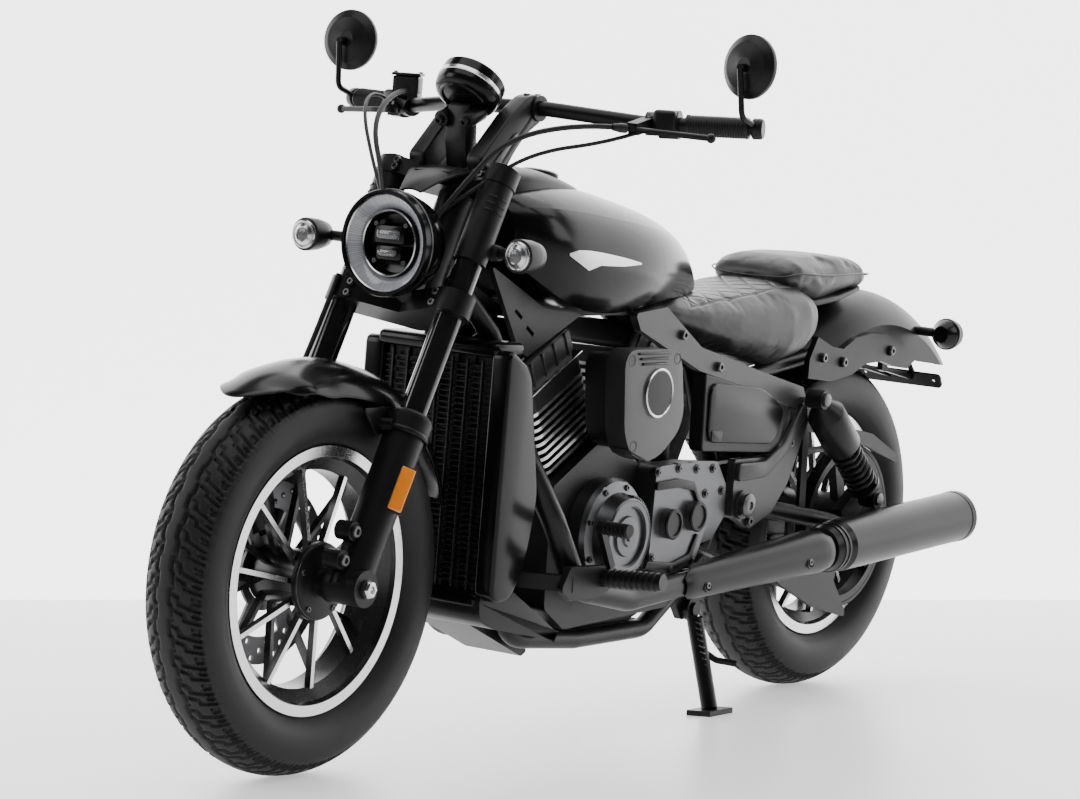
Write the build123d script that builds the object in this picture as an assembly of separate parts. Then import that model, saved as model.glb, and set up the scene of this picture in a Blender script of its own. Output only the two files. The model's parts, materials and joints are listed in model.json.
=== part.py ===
from build123d import *
import math
import os

os.makedirs("parts", exist_ok=True)

# Cruiser motorcycle that leans on its side stand. Lengths in millimetres, angles in degrees.
# It is modelled upright: x forward with 0 at the rear axle, y to the rider's left, z up from the ground.
# The last section leans it over and moves it to its origin, the bottom centre of its box.

# ---------------------------------------------------------------- driving dimensions
LEAN = 5.5                    # to the left, onto the stand
REST_STEER = -1.5             # how the steering rests: a little to the right
HEAD_X, HEAD_Z = 1264.5, 850  # middle of the steering head
RAKE = 27
FORK_OFFSET = 45              # front axle ahead of the steering axis
FORK_HALF_TRACK = 110         # fork leg from the middle plane
PIVOT_X, PIVOT_Z = 440, 392   # swingarm pivot
SWINGARM_REACH = 440          # pivot to rear axle, along x

RUN_GAP = 0.3                 # radial clearance of a turning fit
SEAT_GAP = 0.3                # clearance of a piece on its seat

# Tyres and rims. A 16 inch rim has its bead seat at a radius of 203.
FRONT_TYRE = dict(radius=320, half_width=65, crown=75)
REAR_TYRE = dict(radius=323, half_width=75, crown=90)
BEAD_SEAT = 205
LIP_RADIUS, LIP_Y, LIP_WALL = 218, 49, 6
WELL_RADIUS, RIM_WALL = 186, 9
SPOKES_PER_SIDE = 10
SPOKE_WIDTH, SPOKE_DEPTH = 8, 12
SPOKE_SKEW = 9                # how far a spoke's outer end is turned from its inner end
AXLE_RADIUS = 10
DISC_THICKNESS = 5
FRONT_DISC_Y = -62
REAR_DISC_Y = -84

# Fork, measured along the steering axis from the axle.
TUBE_RADIUS = 23
SLIDER_RADIUS, SLIDER_TOP = 34, 292
COLLAR_RADIUS, COLLAR_LENGTH = 38, 22
LOWER_CLAMP_W, UPPER_CLAMP_W = 480, 716
LOWER_CLAMP_DEPTH, UPPER_CLAMP_DEPTH = 38, 30
CLAMP_BOSS = 33
STEM_RADIUS = 15
HEAD_TUBE_RADIUS = 31
HEAD_GAP = 4                  # between the steering head and each clamp
SHROUD_RADIUS, SHROUD_LENGTH = 28, 140

# Handlebar and what it carries.
BAR_RADIUS = 12.7
BAR_TOP_X, BAR_TOP_Z = 1111, 1090
BAR_BEND_Y, BAR_HALF_SPAN = 94, 412
GRIP_RADIUS, GRIP_LENGTH = 17, 112
RISER_Y, RISER_RADIUS = 60, 17
MIRROR_RADIUS, MIRROR_THICKNESS = 52, 20

# Engine: two cylinders in a vee.
CRANK_X, CRANK_Z = 869, 365
CYLINDER_LEAN = 28
CYLINDER_BASE, CYLINDER_TOP, HEAD_TOP = 150, 278, 366
FIN_COUNT, FIN_HALF_LENGTH, FIN_HALF_WIDTH, FIN_CORNER = 9, 88, 86, 22
FIN_THICKNESS, BARREL_HALF = 6, 66
CASE_HALF_WIDTH = 108

# Hubs, pulleys and belt.
FRONT_HUB, REAR_HUB = 46, 60
FRONT_HUB_LEFT, REAR_HUB_LEFT = 44, 60
FRONT_HUB_RIGHT = FRONT_DISC_Y + DISC_THICKNESS / 2 + SEAT_GAP
REAR_HUB_RIGHT = REAR_DISC_Y + DISC_THICKNESS / 2 + SEAT_GAP
PULLEY_Y, PULLEY_RADIUS, BELT_WIDTH, BELT_DEPTH = 92, 150, 24, 7
BELT_GAP = 1.5                # between the belt and the turning rear pulley
FRONT_PULLEY_X, FRONT_PULLEY_Z, FRONT_PULLEY_RADIUS = 560, 392, 62

# What the fork and the steering carry. Lugs and bolts are (ahead of the legs, up the legs from the axle).
CALIPER_LUGS = [(43, 78), (45, 27)]
AXLE_BOSS_Y = FORK_HALF_TRACK + SLIDER_RADIUS + 2
RISER_FOOT = (1228, 970)
BAR_PATH = [(BAR_TOP_X, -BAR_BEND_Y, BAR_TOP_Z), (BAR_TOP_X, BAR_BEND_Y, BAR_TOP_Z), (1040, 240, 1078),
            (978, BAR_HALF_SPAN, 1082)]
LEVER_PIVOT, LEVER_BOSS = (1092, 252, 1068), 12
LAMP_RADIUS, LAMP_DEPTH = 87, 88
LAMP_AHEAD, LAMP_W = 90.5, LOWER_CLAMP_W + 76.6       # middle of the headlight's rim
DIAL_AHEAD, DIAL_W = 29.7, UPPER_CLAMP_W + 142.1      # middle of the instrument's back
DIAL_STAY_AHEAD, DIAL_STAY_WIDTH, DIAL_STAY_DEPTH = -32, 56, 10
SIGNAL_W, SIGNAL_Y = UPPER_CLAMP_W - 117, 221
FENDER_BOLT, FENDER_EAR_Y = (34, 268), 84
HOSE_RADIUS = 4.5

# Frame, castings, gearbox and radiator.
TUBE_R, RAIL_R = 17, 14
BACKBONE_Z, BACKBONE_WIDTH, BACKBONE_DEPTH = 752, 56, 38
RAIL_PATH = [(705, 20, BACKBONE_Z - 8), (590, 56, 660), (400, 60, 610), (118, 60, 650)]
CASTING_Y = 115
PIVOT_RADIUS = 12
GEARBOX_LEFT = 24             # left face of the gearbox, where its output shaft comes out
RADIATOR_X = 1230

# Fuel tank sections: x, half width, bottom z, top z.
TANK_SECTIONS = [(1166, 84, 838, 948), (1110, 132, 800, 962), (1000, 150, 756, 966), (850, 148, 752, 946),
                 (700, 116, 766, 916), (590, 74, 768, 874), (510, 36, 770, 806)]
# Rider seat sections: x, half width, bottom z, top z.
SEAT_SECTIONS = [(640, 70, 715, 752), (560, 92, 690, 764), (470, 112, 660, 772), (370, 132, 636, 778),
                 (270, 138, 646, 776), (205, 120, 668, 766)]
PILLION_SECTIONS = [(262, 80, 788, 818), (236, 92, 782, 836), (204, 98, 773, 840), (150, 100, 750, 842),
                    (60, 98, 766, 838), (-20, 88, 778, 832), (-54, 64, 790, 818)]

# The rear fender is turned about a centre behind and above the axle, then trimmed to its side outline.
FENDER_CENTRE, FENDER_CREST, FENDER_HALF, FENDER_WALL = (-111, 0, 341), 430, 96, 4
FENDER_SIDE = [(110, 640), (110, 770), (-120, 800), (-440, 730), (-440, 650), (-396, 620), (-250, 634),
               (-160, 650), (40, 640)]
FENDER_TAIL_X = -412
STRUT_SCREWS = [(72, 642), (-110, 660)]

# Exhaust, swingarm and shock absorbers.
SILENCER_RADIUS = 49
PIPE_RADIUS = 21
DROPOUT_Y, DROPOUT_WIDTH = 110, 36
SHOCK_Y = 166

# Number plate bracket and rear signals.
PLATE_CENTRE, PLATE_NORMAL = (-352, 0, 590), (-0.88, 0, 0.475)
PLATE_HOLE_Y, PLATE_HOLE_RADIUS = 78, 3.5
TAIL_STEM_X, TAIL_STEM_Z = -240, 696

# Side stand.
STAND_PIVOT = (495, 62, 196)
STAND_FOOT = (515, 147.7)     # x and y on the ground, with the bike leaned
STAND_PLATE = (78, 50, 10)
STAND_LEG_RADIUS = 15
STAND_LUG, STAND_PIN = 14, 7

# Wheels stand on the ground.
FRONT_AXLE_Z = FRONT_TYRE["radius"]
REAR_AXLE_X, REAR_AXLE_Z = PIVOT_X - SWINGARM_REACH, REAR_TYRE["radius"]
RAKE_SIN, RAKE_COS = math.sin(math.radians(RAKE)), math.cos(math.radians(RAKE))
HEAD_LIFT = (HEAD_Z - FRONT_AXLE_Z + FORK_OFFSET * RAKE_SIN) / RAKE_COS
FRONT_AXLE_X = HEAD_X + HEAD_LIFT * RAKE_SIN + FORK_OFFSET * RAKE_COS
FRONT_AXLE = (FRONT_AXLE_X, 0, FRONT_AXLE_Z)
REAR_AXLE = (REAR_AXLE_X, 0, REAR_AXLE_Z)
STEER_AXIS = Axis((HEAD_X, 0, HEAD_Z), (-RAKE_SIN, 0, RAKE_COS))
FORK = Location(FRONT_AXLE, (0, -RAKE, 0))
LAMP_X = FRONT_AXLE_X + LAMP_AHEAD * RAKE_COS - LAMP_W * RAKE_SIN
LAMP_Z = FRONT_AXLE_Z + LAMP_AHEAD * RAKE_SIN + LAMP_W * RAKE_COS

BOTTOM = (Align.CENTER, Align.CENTER, Align.MIN)


# ---------------------------------------------------------------- helpers
def side_plane(y):
    """Plane whose own x and y are the bike's x and z."""
    return Plane(origin=(0, y, 0), x_dir=(1, 0, 0), z_dir=(0, -1, 0))


def outline(points, corner=0):
    """Flat face with rounded corners; one radius, or a radius for each corner."""
    return make_face(FilletPolyline(*points, radius=corner, close=True))


def plate(points, y_low, y_high, corner=0):
    """Plate with an outline in x and z that reaches between two values of y."""
    return extrude(side_plane(y_high) * outline(points, corner), amount=y_high - y_low)


def rod(start, end, radius):
    """Round rod between two points."""
    along = Vector(*end) - Vector(*start)
    return Plane(origin=start, z_dir=along) * Cylinder(radius, along.length, align=BOTTOM)


def cross_rod(x, z, y_low, y_high, radius):
    """Round rod along y."""
    return rod((x, y_low, z), (x, y_high, z), radius)


def pipe(points, radii, radius):
    """Round bar along straight runs that tangent arcs join."""
    path = FilletPolyline(*points, radius=radii)
    section = Plane(origin=path @ 0, z_dir=path % 0) * Circle(radius)
    return sweep(section, path=path)


def turned(profile, centre, axis=(0, 1, 0)):
    """Solid turned about an axis; the profile lists (radius, place along the axis)."""
    face = Plane.XZ * make_face(Polyline(*profile, close=True))
    return Plane(origin=centre, z_dir=axis) * revolve(face, Axis.Z)


def both(part):
    """The piece and its mirror image on the other side."""
    return part + mirror(part, about=Plane.XZ)


def beam(start, end, width, depth):
    """Square bar between two points: width along y, depth across."""
    along = Vector(*end) - Vector(*start)
    place = Plane(origin=start, x_dir=(0, 1, 0), z_dir=along)
    return place * Box(width, depth, along.length, align=BOTTOM)


def arc_point(centre, radius, angle):
    """Point in x and z at an angle from straight ahead."""
    turn = math.radians(angle)
    return centre[0] + radius * math.cos(turn), centre[1] + radius * math.sin(turn)


# ---------------------------------------------------------------- wheels
def tyre(size, centre):
    """Filled ring with a round crown that seats between the rim's lips."""
    half, top, crown = size["half_width"], size["radius"], size["crown"]
    seat, edge = LIP_Y - LIP_WALL - SEAT_GAP, LIP_RADIUS + 2
    shoulder = half - 9
    drop = crown - math.sqrt(crown ** 2 - shoulder ** 2)
    low = BEAD_SEAT + SEAT_GAP
    bulge = (half, (edge + top - drop) / 2)
    profile = Polyline((-seat, edge), (-seat, low), (seat, low), (seat, edge))
    profile += ThreePointArc((seat, edge), bulge, (shoulder, top - drop))
    profile += ThreePointArc((shoulder, top - drop), (0, top), (-shoulder, top - drop))
    profile += ThreePointArc((-shoulder, top - drop), (-bulge[0], bulge[1]), (-seat, edge))
    face = Plane(origin=(0, 0, 0), x_dir=(0, 1, 0), z_dir=(1, 0, 0)) * make_face(profile)
    return Pos(*centre) * revolve(face, Axis.Y)


def rim(centre, hub_radius, hub_left, hub_right, flange_y):
    """Cast wheel: rim with raised lips, two sets of straight spokes and a bored hub."""
    inner_lip = LIP_Y - LIP_WALL
    profile = [(LIP_RADIUS, -LIP_Y), (LIP_RADIUS, -inner_lip), (BEAD_SEAT, -inner_lip), (BEAD_SEAT - 2, -26),
               (WELL_RADIUS, -19), (WELL_RADIUS, 19), (BEAD_SEAT - 2, 26), (BEAD_SEAT, inner_lip),
               (LIP_RADIUS, inner_lip), (LIP_RADIUS, LIP_Y), (BEAD_SEAT - 5, LIP_Y),
               (BEAD_SEAT - RIM_WALL, LIP_Y - 8), (WELL_RADIUS - RIM_WALL, 23), (WELL_RADIUS - RIM_WALL, -23),
               (BEAD_SEAT - RIM_WALL, 8 - LIP_Y), (BEAD_SEAT - 5, -LIP_Y)]
    wheel = turned(profile, centre)
    wheel += Pos(*centre) * rod((0, hub_right, 0), (0, hub_left, 0), hub_radius)
    step = 360 / SPOKES_PER_SIDE
    for side in (1, -1):
        for k in range(SPOKES_PER_SIDE):
            foot = arc_point((0, 0), hub_radius - 3, k * step)
            tip = arc_point((0, 0), WELL_RADIUS - RIM_WALL / 2, k * step + side * SPOKE_SKEW)
            start = Vector(foot[0], side * flange_y, foot[1])
            end = Vector(tip[0], side * flange_y * 0.6, tip[1])
            wheel += Pos(*centre) * beam(start, end, SPOKE_DEPTH, SPOKE_WIDTH)
    return wheel - Pos(*centre) * rod((0, hub_right - 1, 0), (0, hub_left + 1, 0), AXLE_RADIUS + RUN_GAP)


def disc(centre, y, outer, inner, carrier):
    """Drilled brake disc on a dished carrier that bolts to the hub."""
    low, high = y - DISC_THICKNESS / 2, y + DISC_THICKNESS / 2
    part = turned([(outer, low), (outer, high), (inner, high), (inner, low)], centre)
    hole = cross_rod(0, 0, low - 1, high + 1, 5)
    spots = []
    for row, radius in enumerate((inner + 10, (inner + outer) / 2, outer - 10)):
        spots += [arc_point((0, 0), radius, k * 24 + row * 8) for k in range(15)]
    part -= Compound([Pos(centre[0] + x, 0, centre[2] + z) * hole for x, z in spots])
    ring = turned([(carrier + 16, low), (carrier + 16, high), (carrier, high), (carrier, low)], centre)
    for k in range(6):
        arm = Pos(*centre) * Rot(0, k * 60, 0) * Pos((carrier + inner) / 2 + 6, y, 0)
        ring += arm * Box(inner - carrier - 2, DISC_THICKNESS, 22)
    return part + ring


def front_rim():
    wheel = rim(FRONT_AXLE, FRONT_HUB, FRONT_HUB_LEFT, FRONT_HUB_RIGHT, 34)
    cover = turned([(AXLE_RADIUS + RUN_GAP, 44), (62, 44), (62, 54), (50, 58), (23, 58), (23, 72),
                    (AXLE_RADIUS + RUN_GAP, 72)], FRONT_AXLE)
    return wheel + cover


def rear_rim():
    return rim(REAR_AXLE, REAR_HUB, REAR_HUB_LEFT, REAR_HUB_RIGHT, 40)


def rear_pulley():
    """Toothed pulley beside the hub."""
    low, high = PULLEY_Y - BELT_WIDTH / 2, PULLEY_Y + BELT_WIDTH / 2
    part = turned([(REAR_HUB, REAR_HUB_LEFT + SEAT_GAP), (REAR_HUB, high), (AXLE_RADIUS + RUN_GAP, high),
                   (AXLE_RADIUS + RUN_GAP, REAR_HUB_LEFT + SEAT_GAP)], REAR_AXLE)
    part += turned([(PULLEY_RADIUS, low), (PULLEY_RADIUS, high), (PULLEY_RADIUS - 14, high),
                    (PULLEY_RADIUS - 14, low)], REAR_AXLE)
    for k in range(5):
        spoke = Pos(*REAR_AXLE) * Rot(0, k * 72, 0) * Pos((PULLEY_RADIUS + REAR_HUB) / 2 - 8, PULLEY_Y, 0)
        part += spoke * Box(PULLEY_RADIUS - REAR_HUB, BELT_WIDTH - 6, 26)
    return part


# ---------------------------------------------------------------- fork and steering
def on_fork(part):
    return FORK * part


def fork_point(ahead, y, along):
    """Point ahead of the fork legs' plane, at a height along the fork from the axle."""
    return (FORK * Pos(ahead, y, along)).position


def fork_sliders():
    """Lower legs with a collar on top, an axle eye and two caliper lugs."""
    leg = rod((0, FORK_HALF_TRACK, -8), (0, FORK_HALF_TRACK, SLIDER_TOP), SLIDER_RADIUS)
    leg += rod((0, FORK_HALF_TRACK, SLIDER_TOP - COLLAR_LENGTH), (0, FORK_HALF_TRACK, SLIDER_TOP), COLLAR_RADIUS)
    leg += cross_rod(0, 0, FORK_HALF_TRACK - SLIDER_RADIUS, AXLE_BOSS_Y, 30)
    for u, w in CALIPER_LUGS:
        leg += cross_rod(u, w, FORK_HALF_TRACK - 22, FORK_HALF_TRACK + 8, 16)
        leg += beam((0, FORK_HALF_TRACK - 7, w), (u, FORK_HALF_TRACK - 7, w), 26, 26)
    leg += cross_rod(FENDER_BOLT[0], FENDER_BOLT[1], FENDER_EAR_Y + SEAT_GAP, FORK_HALF_TRACK, 10)
    leg -= cross_rod(0, 0, 0, 200, AXLE_RADIUS + SEAT_GAP)
    leg -= rod((0, FORK_HALF_TRACK, 60), (0, FORK_HALF_TRACK, SLIDER_TOP + 1), TUBE_RADIUS + SEAT_GAP)
    return on_fork(both(leg))


def fork_tubes():
    tube = rod((0, FORK_HALF_TRACK, 90), (0, FORK_HALF_TRACK, UPPER_CLAMP_W + UPPER_CLAMP_DEPTH + 4), TUBE_RADIUS)
    return on_fork(both(tube))


def clamp(low, depth, boss):
    """Fork clamp: bosses on the legs and the stem in one hull, bored for the tubes."""
    arm = make_hull((Pos(0, FORK_HALF_TRACK) * Circle(boss)).edges() + (Pos(-FORK_OFFSET, 0) * Circle(boss)).edges())
    part = both(extrude(Plane.XY.offset(low) * arm, amount=depth))
    for y in (FORK_HALF_TRACK, -FORK_HALF_TRACK):
        part -= rod((0, y, low - 1), (0, y, low + depth + 1), TUBE_RADIUS + SEAT_GAP)
    return part


def lower_clamp():
    """Lower clamp with the stem that turns in the steering head."""
    part = clamp(LOWER_CLAMP_W, LOWER_CLAMP_DEPTH, CLAMP_BOSS)
    part += rod((-FORK_OFFSET, 0, LOWER_CLAMP_W), (-FORK_OFFSET, 0, UPPER_CLAMP_W - SEAT_GAP), STEM_RADIUS)
    return on_fork(part)


def upper_clamp():
    """Upper clamp, the shrouds below it and the two bar risers."""
    part = clamp(UPPER_CLAMP_W, UPPER_CLAMP_DEPTH, CLAMP_BOSS - 3)
    for y in (FORK_HALF_TRACK, -FORK_HALF_TRACK):
        shroud = rod((0, y, UPPER_CLAMP_W - SHROUD_LENGTH), (0, y, UPPER_CLAMP_W), SHROUD_RADIUS)
        part += shroud - rod((0, y, 0), (0, y, UPPER_CLAMP_W), TUBE_RADIUS + SEAT_GAP)
    part = on_fork(part)
    foot_x, foot_z = RISER_FOOT
    for y in (RISER_Y, -RISER_Y):
        riser = rod((foot_x, y, foot_z), (BAR_TOP_X, y, BAR_TOP_Z), RISER_RADIUS)
        riser += cross_rod(BAR_TOP_X, BAR_TOP_Z, y - 20, y + 20, RISER_RADIUS + 5)
        part += riser
    return part - cross_rod(BAR_TOP_X, BAR_TOP_Z, -100, 100, BAR_RADIUS + SEAT_GAP)


def bar_shape(radius):
    left = BAR_PATH[1:]
    right = [(x, -y, z) for x, y, z in reversed(left)]
    return pipe(right + left, [60, 40, 40, 60], radius)


def handlebar():
    """Nearly straight bar, swept back at the ends."""
    return bar_shape(BAR_RADIUS) + both(rod(along_bar(BAR_HALF_SPAN - 1), along_bar(BAR_HALF_SPAN + 4.7), 10))


def along_bar(y):
    """Point on the outer run of the left side of the bar."""
    (x0, y0, z0), (x1, y1, z1) = BAR_PATH[2], BAR_PATH[3]
    share = (y - y0) / (y1 - y0)
    return Vector(x0 + share * (x1 - x0), y, z0 + share * (z1 - z0))


def bar_sleeve(y_low, y_high, radius):
    """Hollow sleeve around the outer run of the bar."""
    start, end = along_bar(y_low), along_bar(y_high)
    return rod(start, end, radius) - rod(start - (end - start), end + (end - start), BAR_RADIUS + SEAT_GAP)


def grips():
    return both(bar_sleeve(BAR_HALF_SPAN - GRIP_LENGTH, BAR_HALF_SPAN, GRIP_RADIUS))


def bar_controls():
    """Switch housings beside the grips, lever clamps, and the brake reservoir on the right."""
    housing = bar_sleeve(268, BAR_HALF_SPAN - GRIP_LENGTH - 1, 24)
    left = housing + bar_sleeve(246, 267, 20)
    clamp_at = along_bar(256)
    left += beam(clamp_at + Vector(16, 0, 0), (LEVER_PIVOT[0] - 4, LEVER_PIVOT[1], LEVER_PIVOT[2]), 22, 20)
    left -= Pos(*LEVER_PIVOT) * Cylinder(16, 9 + 2 * SEAT_GAP)
    part = both(left)
    reservoir = Pos(1098, -214, 1110) * Rot(0, 0, 30) * Box(58, 44, 34)
    neck = beam((1098, -222, 1096), (1070, -252, 1078), 18, 18)
    return part + reservoir + neck - bar_shape(BAR_RADIUS + SEAT_GAP)


def levers():
    """Clutch and brake levers, ball ended."""
    points = [LEVER_PIVOT, (1090, 290, 1066), (1058, 388, 1062)]
    lever = pipe(points, [30], 5)
    lever += Pos(*points[2]) * Sphere(8)
    lever += Pos(*LEVER_PIVOT) * Cylinder(LEVER_BOSS, 9)
    return both(lever)


def mirrors():
    """Round mirrors on stalks at the bar ends."""
    end = along_bar(BAR_HALF_SPAN + 5)
    tip = along_bar(BAR_HALF_SPAN + 18)
    stalk = rod(end, tip, GRIP_RADIUS)
    stalk += pipe([tip - Vector(0, 6, 0), (1026, 424, 1100), (1036, 420, 1180)], [18], 5)
    profile = [(0, 0), (MIRROR_RADIUS, 0), (MIRROR_RADIUS, 8), (MIRROR_RADIUS - 12, 17), (0, MIRROR_THICKNESS)]
    shell = turned(profile, (1000, 420, 1183), (1, -0.12, 0.05))
    stalk += rod((1036, 420, 1180), (1012, 420, 1182), 7)
    return both(stalk + shell)


def headlight_shell():
    """Deep round shell with a bracket to the lower clamp."""
    profile = [(0, 0), (52, 0), (76, 24), (LAMP_RADIUS, 60), (LAMP_RADIUS, LAMP_DEPTH), (LAMP_RADIUS - 5, LAMP_DEPTH),
               (LAMP_RADIUS - 5, LAMP_DEPTH - 16), (0, LAMP_DEPTH - 16)]
    shell = turned(profile, (LAMP_X - LAMP_DEPTH, 0, LAMP_Z), (1, 0, 0))
    foot_w = LOWER_CLAMP_W + LOWER_CLAMP_DEPTH + SEAT_GAP
    bracket = Pos(14, 0, foot_w) * Box(22, 40, 130, align=BOTTOM)
    bracket += Pos(10, 0, foot_w) * Box(30, 40, 12, align=BOTTOM)
    return shell + on_fork(bracket)


def headlight_lens():
    profile = [(0, 0), (LAMP_RADIUS - 5 - SEAT_GAP, 0), (LAMP_RADIUS - 5 - SEAT_GAP, 14), (40, 22), (0, 24)]
    return turned(profile, (LAMP_X - 16 + SEAT_GAP, 0, LAMP_Z), (1, 0, 0))


def instrument():
    """Round instrument that faces up and back, on a bracket from the upper clamp."""
    profile = [(0, 0), (40, 0), (52, 14), (55, 40), (50, 46), (0, 46)]
    pod = turned(profile, fork_point(DIAL_AHEAD, 0, DIAL_W), (-0.62, 0, 0.78))
    foot_w = UPPER_CLAMP_W + UPPER_CLAMP_DEPTH + SEAT_GAP
    foot = on_fork(Pos(-30, 0, foot_w) * Box(34, 70, 8, align=BOTTOM))
    stay = beam(fork_point(DIAL_STAY_AHEAD, 0, foot_w + 7), fork_point(DIAL_AHEAD, 0, DIAL_W + 15),
                DIAL_STAY_WIDTH, DIAL_STAY_DEPTH)
    return pod + foot + stay


def front_signals():
    """Front turn signals on stems from the fork shrouds."""
    profile = [(0, 0), (14, 0), (24, 16), (27, 40), (26, 58), (16, 66), (0, 67)]
    at = fork_point(-4, 0, SIGNAL_W)
    lamp = turned(profile, (at.X - 30, SIGNAL_Y, at.Z), (1, 0, 0))
    stem = rod((at.X, FORK_HALF_TRACK + SHROUD_RADIUS + SEAT_GAP, at.Z), (at.X, SIGNAL_Y - 21, at.Z), 9)
    return both(lamp + stem)


def front_fender():
    """Deep front fender around the tyre, held by a bracket on each slider."""
    inner_width, wall, crest, skirt, drop = 76, 3, 354, 306, 30
    width = inner_width + wall
    lines = Polyline((-width, crest - drop), (-width, skirt), (-inner_width, skirt), (-inner_width, crest - drop - 1))
    lines += ThreePointArc((-inner_width, crest - drop - 1), (0, crest - wall), (inner_width, crest - drop - 1))
    lines += Polyline((inner_width, crest - drop - 1), (inner_width, skirt), (width, skirt), (width, crest - drop))
    lines += ThreePointArc((width, crest - drop), (0, crest), (-width, crest - drop))
    face = Plane(origin=(0, 0, 0), x_dir=(0, 1, 0), z_dir=(1, 0, 0)) * make_face(lines)
    start, end = 32, -70
    sheet = Pos(*FRONT_AXLE) * Rot(0, end, 0) * revolve(face, Axis.Y, revolution_arc=start - end)
    bolt = fork_point(FENDER_BOLT[0], 0, FENDER_BOLT[1])
    ear = plate([(bolt.X - 14, bolt.Z - 14), (bolt.X + 14, bolt.Z - 14), (bolt.X + 26, bolt.Z + 56),
                 (bolt.X - 26, bolt.Z + 56)], width - 1, FENDER_EAR_Y, 5)
    ear -= on_fork(rod((0, FORK_HALF_TRACK, 0), (0, FORK_HALF_TRACK, SLIDER_TOP + 1), COLLAR_RADIUS + SEAT_GAP))
    return sheet + both(ear)


def front_caliper():
    """Caliper ahead of the right slider, over the disc."""
    block = Pos(92, FRONT_DISC_Y - 4, 92) * Rot(0, 42, 0) * Box(60, 40, 104)
    for u, w in CALIPER_LUGS:
        ear = cross_rod(u, w, -(FORK_HALF_TRACK - 22 - SEAT_GAP), FRONT_DISC_Y - 14, 15)
        block += ear + beam((u, FRONT_DISC_Y - 20, w), (88, FRONT_DISC_Y - 20, w + 40), 12, 24)
    slot = cross_rod(0, 0, FRONT_DISC_Y - 6, FRONT_DISC_Y + 6, 156)
    return on_fork(block - slot)


def front_axle():
    """Axle through both fork legs, with a screw head at each end."""
    outer = AXLE_BOSS_Y + SEAT_GAP
    part = cross_rod(FRONT_AXLE_X, FRONT_AXLE_Z, -outer, outer, AXLE_RADIUS)
    return part + both(cross_rod(FRONT_AXLE_X, FRONT_AXLE_Z, outer, outer + 5, 15))


def control_cables():
    """Cable from the left lever and hose from the right reservoir, into the back of the headlight."""
    x, y, z = LEVER_PIVOT
    left = pipe([(x, y, z), (1180, 214, 1072), (1284, 140, 1040), (1318, 84, 960),
                 (1356, 44, 884)], [60, 90, 60], HOSE_RADIUS)
    right = pipe([(1124, -196, 1104), (1190, -176, 1100), (1284, -140, 1046), (1318, -84, 960), (1356, -44, 884)],
                 [60, 90, 60], HOSE_RADIUS)
    left -= Pos(*LEVER_PIVOT) * Cylinder(LEVER_BOSS + SEAT_GAP, 4 * HOSE_RADIUS)
    return left + right - lamp_outside(SEAT_GAP)


def lamp_outside(gap):
    """Filled outside of the headlight shell, grown by a gap."""
    profile = [(0, -gap), (52 + gap / 2, -gap), (76 + gap, 24 - gap / 2), (LAMP_RADIUS + gap, 60),
               (LAMP_RADIUS + gap, LAMP_DEPTH), (0, LAMP_DEPTH)]
    return turned(profile, (LAMP_X - LAMP_DEPTH, 0, LAMP_Z), (1, 0, 0))


def brake_hose():
    """Hose from the lower clamp down the right fork leg to the caliper."""
    seat = CLAMP_BOSS + SEAT_GAP + HOSE_RADIUS
    points = [(seat, -FORK_HALF_TRACK, LOWER_CLAMP_W + 36), (seat, -FORK_HALF_TRACK, 430), (45, -109, 300),
              (60, -98, 220), (88, -74, 110)]
    return on_fork(pipe(points, [80, 80, 60], HOSE_RADIUS)) - front_caliper()


# ---------------------------------------------------------------- frame


def backbone(gap):
    """Box backbone from the steering head to the seat, grown by a gap."""
    width, depth = BACKBONE_WIDTH + 2 * gap, BACKBONE_DEPTH + 2 * gap
    part = beam((HEAD_X - 6, 0, HEAD_Z - 10), (1060, 0, BACKBONE_Z), width, depth)
    return part + Pos(880, 0, BACKBONE_Z) * Box(380, width, depth)


def main_frame():
    """Steering head, backbone, down tubes with the cradle, and seat rails."""
    low = fork_point(-FORK_OFFSET, 0, LOWER_CLAMP_W + LOWER_CLAMP_DEPTH + HEAD_GAP)
    high = fork_point(-FORK_OFFSET, 0, UPPER_CLAMP_W - HEAD_GAP)
    head = rod(low, high, HEAD_TUBE_RADIUS)
    part = head + backbone(0)
    down = [(HEAD_X - 8, 30, HEAD_Z - 48), (1170, 60, 704), (1158, 66, 600), (1150, 72, 330), (1085, 76, 190),
            (880, 76, 172), (650, 70, 172), (535, 60, 232), (430, 54, 320), (428, 54, 440), (545, 58, 652)]
    part += both(pipe(down, [60, 200, 200, 80, 80, 80, 80, 60, 60], TUBE_R))
    part += both(pipe(RAIL_PATH, [60, 120], RAIL_R))
    part += cross_rod(PIVOT_X, PIVOT_Z, -72, 72, 30)
    part += cross_rod(130, 648, -60, 60, RAIL_R) + cross_rod(640, 172, -70, 70, 14)
    hole = rod(low * 1.5 - high * 0.5, high * 1.5 - low * 0.5, STEM_RADIUS + RUN_GAP)
    return part - hole - cross_rod(PIVOT_X, PIVOT_Z, -140, 140, PIVOT_RADIUS + SEAT_GAP)


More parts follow.
